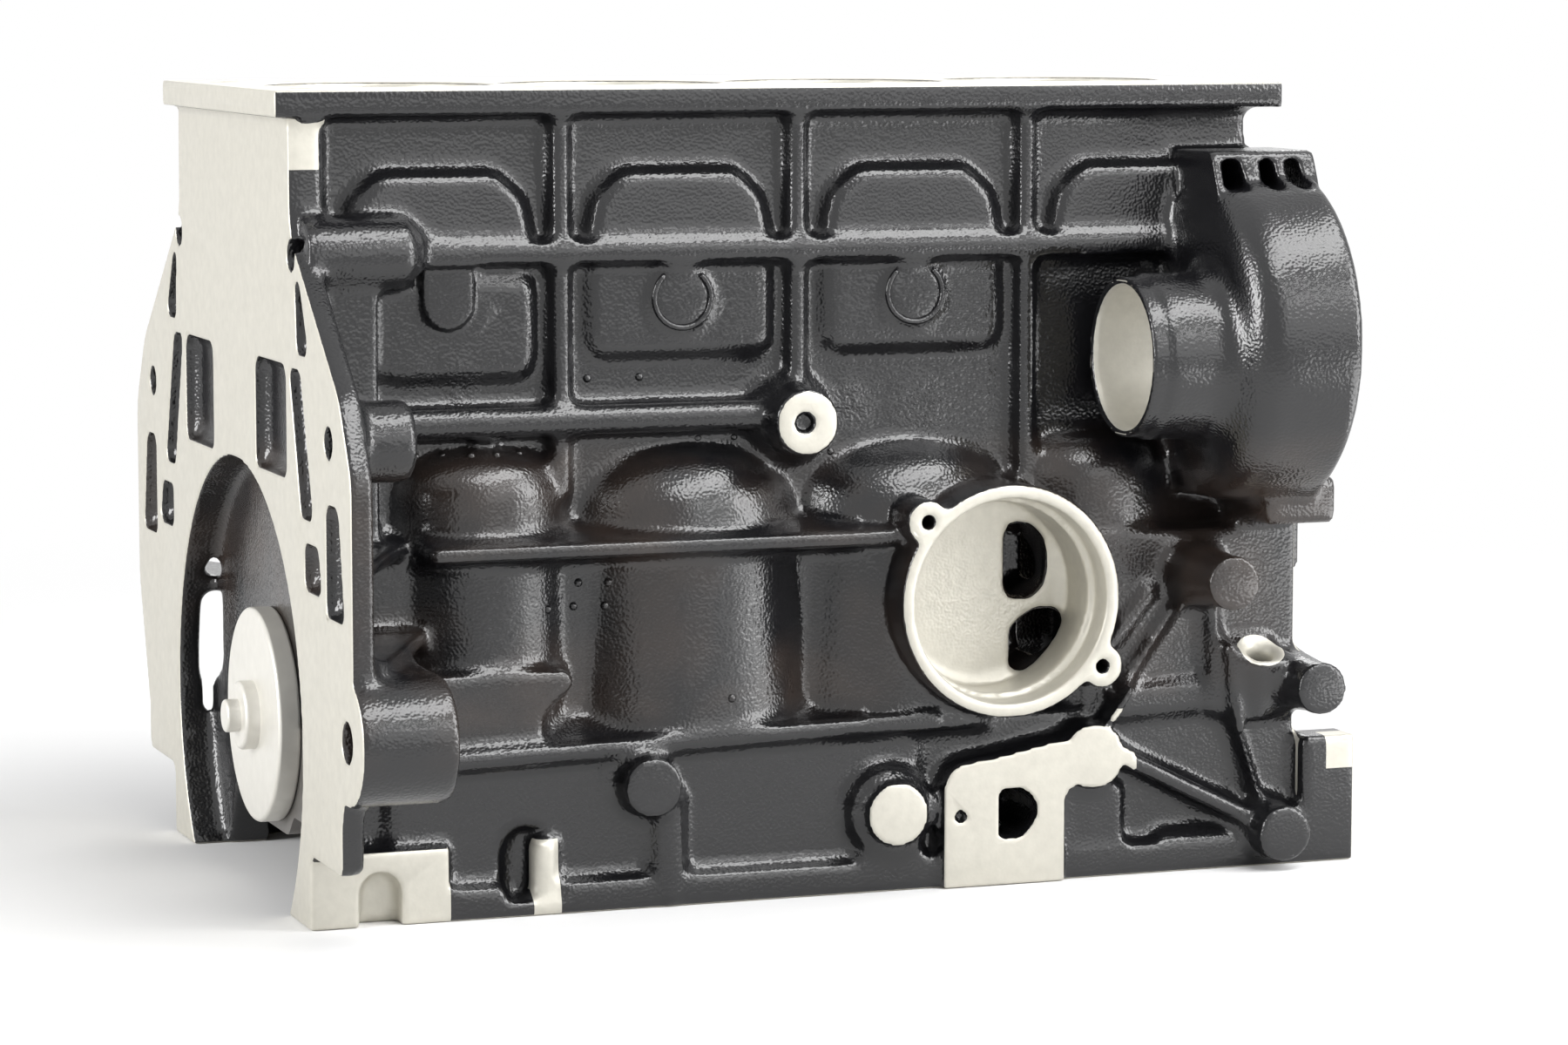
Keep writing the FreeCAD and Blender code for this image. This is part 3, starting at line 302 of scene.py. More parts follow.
def blend_colour(tree, factor, first, second):
    """Mixes two colours."""
    node = put(tree.nodes, "ShaderNodeMix", data_type="RGBA")
    feed(tree, node.inputs["Factor"], factor)
    for name, value in (("A", first), ("B", second)):
        socket = [s for s in node.inputs if s.name == name and s.type == "RGBA"][0]
        if isinstance(value, bpy.types.NodeSocket):
            tree.links.new(value, socket)
        else:
            socket.default_value = (*value, 1.0)
    return [s for s in node.outputs if s.type == "RGBA"][0]


def blend_number(tree, factor, first, second):
    """Mixes two numbers."""
    node = put(tree.nodes, "ShaderNodeMix", data_type="FLOAT")
    feed(tree, node.inputs["Factor"], factor)
    numbers = [s for s in node.inputs if s.type == "VALUE" and s.name in ("A", "B")]
    feed(tree, numbers[0], first)
    feed(tree, numbers[1], second)
    return [s for s in node.outputs if s.type == "VALUE"][0]


def new_material(name):
    """An empty node material; returns it, its tree and its shader."""
    material = bpy.data.materials.new(name)
    material.use_nodes = True
    tree = material.node_tree
    shader = [n for n in tree.nodes if n.type == "BSDF_PRINCIPLED"][0]
    return material, tree, shader


def box_mask_group():
    """Node group: 1 inside a box that is stated by its low and high corners."""
    group = bpy.data.node_groups.new("machined face", "ShaderNodeTree")
    face = group.interface
    face.new_socket("Place", in_out="INPUT", socket_type="NodeSocketVector")
    face.new_socket("Low", in_out="INPUT", socket_type="NodeSocketVector")
    face.new_socket("High", in_out="INPUT", socket_type="NodeSocketVector")
    face.new_socket("Inside", in_out="OUTPUT", socket_type="NodeSocketFloat")
    start = group.nodes.new("NodeGroupInput")
    end = group.nodes.new("NodeGroupOutput")
    place = group.nodes.new("ShaderNodeSeparateXYZ")
    low = group.nodes.new("ShaderNodeSeparateXYZ")
    high = group.nodes.new("ShaderNodeSeparateXYZ")
    group.links.new(start.outputs["Place"], place.inputs[0])
    group.links.new(start.outputs["Low"], low.inputs[0])
    group.links.new(start.outputs["High"], high.inputs[0])
    inside = 1.0
    for axis in range(3):
        above = sums(group, "GREATER_THAN", place.outputs[axis], low.outputs[axis])
        below = sums(group, "LESS_THAN", place.outputs[axis], high.outputs[axis])
        inside = sums(group, "MULTIPLY", inside, sums(group, "MULTIPLY", above, below))
    group.links.new(inside, end.inputs["Inside"])
    return group


def round_mask_group():
    """Node group: 1 within a radius of a line through a point along X, Y or Z."""
    group = bpy.data.node_groups.new("machined round", "ShaderNodeTree")
    face = group.interface
    face.new_socket("Place", in_out="INPUT", socket_type="NodeSocketVector")
    face.new_socket("Centre", in_out="INPUT", socket_type="NodeSocketVector")
    face.new_socket("Across", in_out="INPUT", socket_type="NodeSocketVector")
    face.new_socket("Radius", in_out="INPUT", socket_type="NodeSocketFloat")
    face.new_socket("Inside", in_out="OUTPUT", socket_type="NodeSocketFloat")
    start = group.nodes.new("NodeGroupInput")
    end = group.nodes.new("NodeGroupOutput")
    away = put(group.nodes, "ShaderNodeVectorMath", operation="SUBTRACT")
    flat = put(group.nodes, "ShaderNodeVectorMath", operation="MULTIPLY")
    length = put(group.nodes, "ShaderNodeVectorMath", operation="LENGTH")
    group.links.new(start.outputs["Place"], away.inputs[0])
    group.links.new(start.outputs["Centre"], away.inputs[1])
    group.links.new(away.outputs[0], flat.inputs[0])
    group.links.new(start.outputs["Across"], flat.inputs[1])
    group.links.new(flat.outputs[0], length.inputs[0])
    near = sums(group, "LESS_THAN", length.outputs["Value"], start.outputs["Radius"])
    group.links.new(near, end.inputs["Inside"])
    return group


def machined_boxes():
    """Low and high corners of the thin boxes that hold the flat machined faces."""
    low, high = (-FAR, -FAR, -FAR), (FAR, FAR, FAR)
    boxes = {
        "deck": ((-FAR, -FAR, DECK_Z - SKIN), high),
        "sump face": (low, (FAR, FAR, SKIN)),
        "bell-housing face": (low, (REAR_X + SKIN, FAR, DECK_Z - DECK_LIP)),
        "deck's rear edge": (low, (REAR_X - REAR_STEP + SKIN, FAR, FAR)),
        "front face": ((FRONT_X - SKIN, -0.1, 0), (FRONT_X + SKIN, FAR, FAR)),
        "rail's front": ((RAIL_FRONT_X - SKIN, -FAR, -FAR), high),
        "strip under the deck": (
            (REAR_X, RIB_Y - 0.001, DECK_Z - 0.027),
            (REAR_X + 0.0131, RIB_Y + SKIN, DECK_Z - DECK_LIP),
        ),
        "breather ring": ((0.01, BREATHER_Y - SKIN, 0.05), (0.125, BREATHER_Y + SKIN, 0.16)),
        "plate": (
            (PLATE_X - 0.002, PLATE_Y - SKIN, 0),
            (PLATE_X + 0.075, PLATE_Y + SKIN, PLATE_TOP),
        ),
        "skirt boss": ((0.01, SKIRT_BOSS_Y - 0.001, 0.01), (0.043, SKIRT_BOSS_Y + SKIN, 0.046)),
        "rear foot": (
            (REAR_X, RIB_Y - 0.022, -FAR),
            (MAIN_X[1] - 0.0482, RIB_Y - 0.0085, CRANK_Z - 0.0342),
        ),
        "skirt pad": (
            (MAIN_X[1] - 0.018, -0.104, 0),
            (MAIN_X[1] - 0.008, RIB_Y - 0.0125, 0.0262),
        ),
        "front foot": (
            (MAIN_X[-1] + 0.0235, -0.105, CRANK_Z - 0.0252),
            (RAIL_FRONT_X, -0.0945, CRANK_Z - 0.0128),
        ),
    }
    return boxes.values()


def machined_rounds():
    """Centre, the axes across it, radius, and the box that each turned or bored face lies in."""
    low, high = (-FAR, -FAR, -FAR), (FAR, FAR, FAR)
    across_z, across_y, across_x, every_way = (1, 1, 0), (1, 0, 1), (0, 1, 1), (1, 1, 1)
    bore_box = ((-FAR, -FAR, DECK_Z - BORE_DEPTH), high)
    rounds = [((x, 0, 0), across_z, BORE_RADIUS + SKIN, bore_box) for x in BORE_X]
    rounds.append(((0, 0, CRANK_Z), across_x, MAIN_BORE_RADIUS + SKIN, (low, high)))
    breather = (BREATHER[0], 0, BREATHER[1])
    breather_box = ((0, -0.13, 0), (0.2, BREATHER_FLOOR_Y, 0.2))
    rounds.append((breather, across_y, BREATHER_BORE_RADIUS, breather_box))
    sensor_box = ((-0.03, -0.11, 0.1), (0.03, -0.0986, 0.2))
    rounds.append((SENSOR_BOSS, across_y, SENSOR_BOSS_RADIUS, sensor_box))
    mouth = (SPIGOT[0] - 0.001, -FAR, -FAR)
    rounds.append((SPIGOT, across_x, SPIGOT_BORE_RADIUS, (mouth, high)))
    rounds.append((SPIGOT, across_x, SPIGOT_RADIUS, (mouth, (SPIGOT[0] + SKIN, FAR, FAR))))
    rounds.append((BOLT_FACE, every_way, BOLT_FACE_RADIUS, (low, high)))
    return rounds


def bare_mask(tree, place):
    """1 on every machined face of the casting and 0 on its painted skin."""
    flat_group, round_group = box_mask_group(), round_mask_group()

    def in_box(low, high):
        node = put(tree.nodes, "ShaderNodeGroup", node_tree=flat_group)
        tree.links.new(place, node.inputs["Place"])
        node.inputs["Low"].default_value = low
        node.inputs["High"].default_value = high
        return node.outputs[0]

    mask = 0.0
    for low, high in machined_boxes():
        mask = sums(tree, "MAXIMUM", mask, in_box(low, high))
    for centre, across, radius, limits in machined_rounds():
        node = put(tree.nodes, "ShaderNodeGroup", node_tree=round_group)
        tree.links.new(place, node.inputs["Place"])
        node.inputs["Centre"].default_value = centre
        node.inputs["Across"].default_value = across
        node.inputs["Radius"].default_value = radius
        inside = sums(tree, "MULTIPLY", node.outputs[0], in_box(*limits))
        mask = sums(tree, "MAXIMUM", mask, inside)
    return mask


def noise(tree, place, scale, detail=2.0):
    """Noise on the object's own coordinates."""
    node = put(tree.nodes, "ShaderNodeTexNoise")
    tree.links.new(place, node.inputs["Vector"])
    node.inputs["Scale"].default_value = scale
    node.inputs["Detail"].default_value = detail
    node.inputs["Roughness"].default_value = 0.5
    return node.outputs[0]


def band(tree, place, low, high, fade=0.012):
    """1 between two heights, fading out above and below them."""
    split = tree.nodes.new("ShaderNodeSeparateXYZ")
    tree.links.new(place, split.inputs[0])
    values = []
    for start, end in ((low - fade, low), (high + fade, high)):
        node = put(tree.nodes, "ShaderNodeMapRange", interpolation_type="SMOOTHSTEP")
        tree.links.new(split.outputs["Z"], node.inputs["Value"])
        node.inputs["From Min"].default_value = start
        node.inputs["From Max"].default_value = end
        values.append(node.outputs[0])
    return sums(tree, "MULTIPLY", *values)


def rough_mask(tree, place):
    """How rough each rough place is in its middle, fading to 0 at its rim."""
    flat_part = 0.35
    mask = 0.0
    for centre, radius, depth in ROUGH_PLACES:
        apart = put(tree.nodes, "ShaderNodeVectorMath", operation="DISTANCE")
        tree.links.new(place, apart.inputs[0])
        apart.inputs[1].default_value = centre
        fade = put(tree.nodes, "ShaderNodeMapRange", interpolation_type="SMOOTHSTEP")
        tree.links.new(apart.outputs["Value"], fade.inputs["Value"])
        fade.inputs["From Min"].default_value = radius
        fade.inputs["From Max"].default_value = radius * flat_part
        mask = sums(tree, "MAXIMUM", mask, sums(tree, "MULTIPLY", fade.outputs[0], depth))
    return mask


def casting_material(sizes):
    """Gloss black paint over a rough casting, with the machined faces left bare."""
    material, tree, shader = new_material("casting paint")
    place = tree.nodes.new("ShaderNodeTexCoord").outputs["Object"]
    bare = bare_mask(tree, place)

    # Colour: the paint lies thin in clouds on the barrels, and the bare metal is lightly clouded
    cloud = put(tree.nodes, "ShaderNodeMapRange")
    tree.links.new(noise(tree, place, CLOUDS, 3.0), cloud.inputs["Value"])
    cloud.inputs["From Min"].default_value = 0.42
    cloud.inputs["From Max"].default_value = 0.75
    barrels = band(tree, place, CRANK_Z + 0.012, CRANK_Z + 0.095)
    worn = sums(tree, "MULTIPLY", cloud.outputs[0], barrels)
    coat = blend_colour(tree, worn, sizes.paint, sizes.thin_paint)
    dull = tuple(c * 0.8 for c in sizes.bare)
    metal = blend_colour(tree, noise(tree, place, CHIPS, 3.0), dull, sizes.bare)
    feed(tree, shader.inputs["Base Color"], blend_colour(tree, bare, coat, metal))

    # Gloss
    feed(tree, shader.inputs["Metallic"], sums(tree, "MULTIPLY", bare, BARE_METALLIC))
    sheen = blend_number(tree, noise(tree, place, GLOSS), *PAINT_ROUGHNESS)
    feed(tree, shader.inputs["Roughness"], blend_number(tree, bare, sheen, BARE_ROUGHNESS))
    feed(tree, shader.inputs["Specular IOR Level"], blend_number(tree, bare, 0.7, 0.5))

    # Grain: orange peel, long lumps, and chips in the rough places
    rough = rough_mask(tree, place)
    grit = sums(tree, "MULTIPLY", rough, 5.0)
    chips = sums(tree, "MULTIPLY", noise(tree, place, CHIPS, 3.0), grit)
    lumps = sums(tree, "MULTIPLY", noise(tree, place, LUMPS, 1.0), 1.6)
    height = sums(tree, "ADD", sums(tree, "ADD", noise(tree, place, PEEL, 0.0), chips), lumps)
    bump = put(tree.nodes, "ShaderNodeBump")
    tree.links.new(height, bump.inputs["Height"])
    bump.inputs["Distance"].default_value = BUMP_DISTANCE
    even = blend_number(tree, bare, PAINT_BUMP, BARE_BUMP)
    feed(tree, bump.inputs["Strength"], sums(tree, "MAXIMUM", even, rough))
    tree.links.new(bump.outputs[0], shader.inputs["Normal"])
    return material


def plain_material(name, colour, metallic, roughness, grain=0.1):
    """One colour with a little grain in its gloss."""
    material, tree, shader = new_material(name)
    place = tree.nodes.new("ShaderNodeTexCoord").outputs["Object"]
    darker = tuple(c * 0.85 for c in colour)
    shade = blend_colour(tree, noise(tree, place, 160.0), darker, colour)
    gloss = blend_number(tree, noise(tree, place, 300.0), roughness - grain, roughness + grain)
    feed(tree, shader.inputs["Base Color"], shade)
    shader.inputs["Metallic"].default_value = metallic
    feed(tree, shader.inputs["Roughness"], gloss)
    return material


# Mesh helpers


def frame_copy(node):
    """A merged copy of a CAD node's mesh."""
    mesh = frame["nodes"][node].data.copy()
    work = bmesh.new()
    work.from_mesh(mesh)
    bmesh.ops.remove_doubles(work, verts=work.verts, dist=MERGE)
    work.to_mesh(mesh)
    work.free()
    mesh.materials.clear()
    return mesh


def new_object(name, mesh):
    """An object at the origin that carries mesh."""
    piece = bpy.data.objects.new(name.replace(" ", "_"), mesh)
    bpy.context.scene.collection.objects.link(piece)
    return piece


def settled(piece):
    """Applies the modifiers of a piece by replacing its mesh with the evaluated one."""
    depsgraph = bpy.context.evaluated_depsgraph_get()
    mesh = bpy.data.meshes.new_from_object(piece.evaluated_get(depsgraph))
    piece.modifiers.clear()
    piece.data = mesh
    return mesh


def eased_copy(name, node, width):
    """A copy of a CAD node whose sharp edges are rounded."""
    piece = new_object(name, frame_copy(node))
    edge = piece.modifiers.new("edges", "BEVEL")
    edge.width = width
    edge.segments = 2
    settled(piece)
    return piece


def finished(piece, node, material):
    """Gives a piece its material, and its place in the frame."""
    piece.data.materials.clear()
    piece.data.materials.append(material)
    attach(piece, "root")
    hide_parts(node)
    return piece


def closed(mesh, work):
    """Moves the faces at work to the mesh, smooth and with all of them outwards."""
    bmesh.ops.recalc_face_normals(work, faces=work.faces)
    for face in work.faces:
        face.smooth = True
    work.to_mesh(mesh)
    work.free()
    return mesh


def lathe(name, profile, steps=48):
    """Closed mesh turned about +Z from (height, radius) points that start and end on the axis."""
    mesh = bpy.data.meshes.new(name)
    work = bmesh.new()
    rings = []
    for height, radius in profile:
        if radius == 0:
            rings.append([work.verts.new((0, 0, height))])
            continue
        ring = []
        for i in range(steps):
            turn = 2 * math.pi * i / steps
            spot = (radius * math.cos(turn), radius * math.sin(turn), height)
            ring.append(work.verts.new(spot))
        rings.append(ring)
    for low, high in zip(rings, rings[1:]):
        for i in range(steps):
            below = [low[i % len(low)], low[(i + 1) % len(low)]]
            above = [high[(i + 1) % len(high)], high[i % len(high)]]
            work.faces.new(list(dict.fromkeys(below + above)))
    return closed(mesh, work)


def open_ring(radius, wire, gap, steps=40, sides=10):
    """Closed mesh of a round wire bent to a ring in XZ, open at its top by the gap to each side."""
    mesh = bpy.data.meshes.new("open ring")
    work = bmesh.new()
    sections = []
    for i in range(steps + 1):
        turn = gap + (2 * math.pi - 2 * gap) * i / steps
        section = []
        for k in range(sides):
            around = 2 * math.pi * k / sides
            reach = radius + wire * math.cos(around)
            spot = (reach * math.sin(turn), wire * math.sin(around), reach * math.cos(turn))
            section.append(work.verts.new(spot))
        sections.append(section)
    for first, second in zip(sections, sections[1:]):
        for k in range(sides):
            follow = (k + 1) % sides
            work.faces.new((first[k], first[follow], second[follow], second[k]))
    work.faces.new(sections[0])
    work.faces.new(sections[-1])
    return closed(mesh, work)


def shaded(mesh, smooth):
    """Smooth or flat shading for every face of a mesh."""
    for polygon in mesh.polygons:
        polygon.use_smooth = smooth


def kept_inside(mesh, low, high):
    """Smooth shading, and no corner outside the box."""
    for vertex in mesh.vertices:
        vertex.co = [min(max(v, a), b) for v, a, b in zip(vertex.co, low, high)]
    shaded(mesh, True)


def crisp_boxes():
    """Low and high corners of the places where machining leaves sharp edges."""
    low = BLOCK_LOW - Vector((GAP, GAP, GAP))
    high = BLOCK_HIGH + Vector((GAP, GAP, GAP))
    boxes = {
        "deck": ((low.x, low.y, DECK_Z - CRISP), high),
        "sump face": (low, (high.x, high.y, CRISP)),
        "bell-housing face": (low, (REAR_X + CRISP, high.y, high.z)),
        "front face": ((FRONT_X - CRISP, -0.094, low.z), high),
        "rail's front": ((RAIL_FRONT_X - CRISP, low.y, low.z), (high.x, high.y, 0.06)),
        "breather ring": ((0.02, -0.116, 0.057), (0.118, -0.0835, 0.151)),
        "plate": ((PLATE_X - 0.002, -0.109, 0), (PLATE_X + 0.0735, -0.1035, PLATE_TOP)),
        "skirt boss": ((0.014, -0.113, 0.015), (0.041, -0.1075, 0.043)),
        "sensor boss": ((-0.018, -0.101, 0.15), (0.013, -0.0955, 0.185)),
        "pump's neck": ((SPIGOT[0] - GAP, -0.145, 0.155), (SPIGOT[0] + 0.01, -0.078, 0.225)),
        "rear foot": ((REAR_X, -0.106, 0), (MAIN_X[1] - 0.047, -0.1005, CRANK_Z - 0.033)),
        "rear skirt boss": ((-0.078, -0.113, 0.032), (-0.052, -0.108, 0.056)),
        "slots of the pump's ear": ((0.146, -0.12, 0.243), (0.191, -0.05, 0.266)),
    }
    x, z, radius = PLUG_RINGS[0]
    side = radius + 0.003
    boxes["rear core plug"] = (
        (x - side, RIB_Y - GAP, z - side),
        (x + side, RIB_Y + 0.0045, DECK_Z - 0.061),
    )
    for i, (x, z, radius, out) in enumerate(BRACKET_BOSSES, 1):
        boxes[f"bracket boss {i}"] = (
            (x - radius, -out - GAP, z - radius),
            (x + radius, -out + CRISP, z + radius),
        )
    return list(boxes.values())


def grown(low, high, by):
    """A box that is larger by the same amount on every side."""
    return [v - by for v in low], [v + by for v in high]


def rounding_tree(sizes, boxes):
    """Geometry Nodes tree that gives the casting its fillets and leaves the machined places sharp.

    The solid is grown and shrunk again by the fillet, which fills its inward corners, and then
    shrunk and grown by the edge radius, which takes off its outward edges.
    """
    tree = bpy.data.node_groups.new("rounded casting", "GeometryNodeTree")
    face = tree.interface
    face.new_socket("Geometry", in_out="INPUT", socket_type="NodeSocketGeometry")
    for name in ("Grain", "Fillet", "Edge"):
        face.new_socket(name, in_out="INPUT", socket_type="NodeSocketFloat")
    face.new_socket("Geometry", in_out="OUTPUT", socket_type="NodeSocketGeometry")
    start = tree.nodes.new("NodeGroupInput")
    end = tree.nodes.new("NodeGroupOutput")

    def field(mesh, reach=0.0):
        node = tree.nodes.new("GeometryNodeMeshToSDFGrid")
        tree.links.new(mesh, node.inputs["Mesh"])
        tree.links.new(start.outputs["Grain"], node.inputs["Voxel Size"])
        node.inputs["Band Width"].default_value = int(reach / sizes.grain) + 3
        return node.outputs[0]

    def skin(grid, offset=0.0):
        node = tree.nodes.new("GeometryNodeGridToMesh")
        tree.links.new(grid, node.inputs["Grid"])
        feed(tree, node.inputs["Threshold"], offset)
        return node.outputs[0]

    def less(name):
        return sums(tree, "MULTIPLY", start.outputs[name], -1.0)

    def combined(operation, first, second):
        node = put(tree.nodes, "GeometryNodeSDFGridBoolean", operation=operation)
        if operation == "DIFFERENCE":
            tree.links.new(first, node.inputs["Grid 1"])
            tree.links.new(second, node.inputs["Grid 2"])
        else:
            tree.links.new(first, node.inputs["Grid 2"])
            tree.links.new(second, node.inputs["Grid 2"])
        return node.outputs[0]

    def zone(by):
        union = put(tree.nodes, "GeometryNodeSDFGridBoolean", operation="UNION")
        for low, high in boxes:
            low, high = grown(low, high, by)
            cube = tree.nodes.new("GeometryNodeMeshCube")
            cube.inputs["Size"].default_value = [b - a for a, b in zip(low, high)]
            move = tree.nodes.new("GeometryNodeTransform")
            tree.links.new(cube.outputs["Mesh"], move.inputs["Geometry"])
            move.inputs["Translation"].default_value = [(a + b) / 2 for a, b in zip(low, high)]
            tree.links.new(field(move.outputs[0]), union.inputs["Grid 2"])
        return union.outputs[0]

    solid = start.outputs["Geometry"]
    swollen = skin(field(solid, sizes.fillet), start.outputs["Fillet"])
    filled = skin(field(swollen, sizes.fillet), less("Fillet"))
    shrunk = skin(field(filled, sizes.edge), less("Edge"))
    eased = skin(field(shrunk, sizes.edge), start.outputs["Edge"])
    cast = combined("DIFFERENCE", field(eased), zone(0.0))
    machined = combined("INTERSECT", field(solid), zone(GAP))
    whole = skin(combined("UNION", cast, machined))
    tree.links.new(whole, end.inputs["Geometry"])
    return tree


def row_tree():
    """Geometry Nodes tree that puts one turned piece on every given place."""
    tree = bpy.data.node_groups.new("like pieces in their places", "GeometryNodeTree")
    face = tree.interface
    face.new_socket("Geometry", in_out="INPUT", socket_type="NodeSocketGeometry")
    face.new_socket("Piece", in_out="INPUT", socket_type="NodeSocketObject")
    face.new_socket("Turn", in_out="INPUT", socket_type="NodeSocketRotation")
    face.new_socket("Size", in_out="INPUT", socket_type="NodeSocketFloat")
    face.new_socket("Material", in_out="INPUT", socket_type="NodeSocketMaterial")
    face.new_socket("Geometry", in_out="OUTPUT", socket_type="NodeSocketGeometry")
    start = tree.nodes.new("NodeGroupInput")
    end = tree.nodes.new("NodeGroupOutput")
    piece = tree.nodes.new("GeometryNodeObjectInfo")
    spread = tree.nodes.new("GeometryNodeInstanceOnPoints")
    real = tree.nodes.new("GeometryNodeRealizeInstances")
    coat = tree.nodes.new("GeometryNodeSetMaterial")
    tree.links.new(start.outputs["Piece"], piece.inputs["Object"])
    tree.links.new(start.outputs["Geometry"], spread.inputs["Points"])
    tree.links.new(piece.outputs["Geometry"], spread.inputs["Instance"])
    tree.links.new(start.outputs["Turn"], spread.inputs["Rotation"])
    tree.links.new(start.outputs["Size"], spread.inputs["Scale"])
    tree.links.new(spread.outputs["Instances"], real.inputs["Geometry"])
    tree.links.new(real.outputs["Geometry"], coat.inputs["Geometry"])
    tree.links.new(start.outputs["Material"], coat.inputs["Material"])
    tree.links.new(coat.outputs["Geometry"], end.inputs["Geometry"])
    return tree


def laid_out(name, pattern, places, material, turn=(0, 0, 0)):
    """One object with a copy of the pattern mesh on each place."""
    tree = bpy.data.node_groups.get("like pieces in their places") or row_tree()
    source = new_object(name + " pattern", pattern)
    points = bpy.data.meshes.new(name)
    points.from_pydata([tuple(p) for p in places], [], [])
    rows = new_object(name, points)
    modifier = rows.modifiers.new("rows", "NODES")
    modifier.node_group = tree
    inputs = {s.name: s.identifier for s in tree.interface.items_tree if s.in_out == "INPUT"}
    modifier[inputs["Piece"]] = source
    modifier[inputs["Turn"]] = turn
    modifier[inputs["Size"]] = 1.0
    modifier[inputs["Material"]] = material
    settled(rows)
    bpy.data.objects.remove(source)
    return rows


# Stage helpers


def away(tree, near, far):
    """0 nearer than one distance from the middle of the floor, and 1 beyond the other."""
    place = tree.nodes.new("ShaderNodeTexCoord").outputs["Object"]
    length = put(tree.nodes, "ShaderNodeVectorMath", operation="LENGTH")
    tree.links.new(place, length.inputs[0])
    fade = put(tree.nodes, "ShaderNodeMapRange", interpolation_type="SMOOTHSTEP")
    tree.links.new(length.outputs["Value"], fade.inputs["Value"])
    fade.inputs["From Min"].default_value = near
    fade.inputs["From Max"].default_value = far
    return fade.outputs[0]


def seen_rays(tree):
    """1 for rays from the eye, also where they come by way of a gloss or a glass."""
    path = tree.nodes.new("ShaderNodeLightPath").outputs
    bounced = sums(tree, "MAXIMUM", path["Is Glossy Ray"], path["Is Transmission Ray"])
    return sums(tree, "MAXIMUM", path["Is Camera Ray"], bounced)


def fade_to_white(tree, shader):
    """Away from the block the floor shows plain white to the eye, so that it meets the backdrop."""
    glow = tree.nodes.new("ShaderNodeEmission")
    mixer = tree.nodes.new("ShaderNodeMixShader")
    share = sums(tree, "MULTIPLY", seen_rays(tree), away(tree, *FLOOR_FADE))
    tree.links.new(share, mixer.inputs[0])
    tree.links.new(shader.outputs[0], mixer.inputs[1])
    tree.links.new(glow.outputs[0], mixer.inputs[2])
    output = [n for n in tree.nodes if n.type == "OUTPUT_MATERIAL"][0]
    tree.links.new(mixer.outputs[0], output.inputs[0])


def lamp(name, place, size, power, turn):
    """A soft lamp that points at the middle of the block, or stands as it is turned in degrees."""
    data = bpy.data.lights.new(name, "AREA")
    data.shape = "RECTANGLE"
    data.size, data.size_y = size
    data.energy = power
    light = bpy.data.objects.new(name, data)
    bpy.context.scene.collection.objects.link(light)
    light.location = place
    if turn is None:
        aim = Vector(BLOCK_MIDDLE) - Vector(place)
        light.rotation_euler = aim.to_track_quat("-Z", "Y").to_euler()
    else:
        light.rotation_euler = [math.radians(angle) for angle in turn]
    return light


def set_world(scene):
    """Even light, with a white background for the eye and for reflections."""
    world = bpy.data.worlds.new("studio")
    scene.world = world
    world.use_nodes = True
    tree = world.node_tree
    back = [n for n in tree.nodes if n.type == "BACKGROUND"][0]
    feed(tree, back.inputs["Strength"], sums(tree, "MAXIMUM", seen_rays(tree), AMBIENT))
    back.inputs["Color"].default_value = (1, 1, 1, 1)


# Pieces


class BLOCK_OT_casting(bpy.types.Operator):
    """Make the casting: a rounded skin of gloss paint with bare machined faces"""

    bl_idname = "engine_block.casting"
    bl_label = "Casting"

    def execute(self, context):
        sizes = context.scene.engine_block_casting
        piece = new_object("casting", frame_copy("block_casting"))
        tree = rounding_tree(sizes, crisp_boxes())
        modifier = piece.modifiers.new("rounded skin", "NODES")
        modifier.node_group = tree
        inputs = {i.name: i.identifier for i in tree.interface.items_tree if i.in_out == "INPUT"}
        modifier[inputs["Grain"]] = sizes.grain
        modifier[inputs["Fillet"]] = sizes.fillet
        modifier[inputs["Edge"]] = sizes.edge
        mesh = settled(piece)
        soft = piece.modifiers.new("rounding", "SMOOTH")
        soft.factor = 0.5
        soft.iterations = sizes.rounding
        thin = piece.modifiers.new("thinning", "DECIMATE")
        thin.ratio = min(1.0, sizes.triangles / (2 * len(mesh.polygons)))
        thin.use_collapse_triangulate = True
        kept_inside(settled(piece), BLOCK_LOW, BLOCK_HIGH)
        finished(piece, "block_casting", casting_material(sizes))
        return {"FINISHED"}


class BLOCK_OT_pips(bpy.types.Operator):
    """Make the small pips that the mould leaves on the near wall"""

    bl_idname = "engine_block.pips"
    bl_label = "Pips"

    def execute(self, context):
        solid = frame["nodes"]["block_casting"].data
        corners = [v.co for v in solid.vertices]
        wall = BVHTree.FromPolygons(corners, [p.vertices for p in solid.polygons])
        sunk = Vector((0, 0.3 * PIP_RADIUS, 0))
        places = []
        for x, z, step, count in PIP_ROWS:
            for i in range(count):
                hit = wall.ray_cast(Vector((x + i * step, -FAR, z)), Vector((0, 1, 0)))[0]
                places.append(hit + sunk)
        ball = bmesh.new()
        bmesh.ops.create_icosphere(ball, subdivisions=2, radius=PIP_RADIUS)
        mesh = bpy.data.meshes.new("pip")
        ball.to_mesh(mesh)
        ball.free()
        coat = bpy.data.materials["casting paint"]
        piece = laid_out("casting pips", mesh, places, coat)
        shaded(piece.data, True)
        finished(piece, "block_casting", coat)
        return {"FINISHED"}


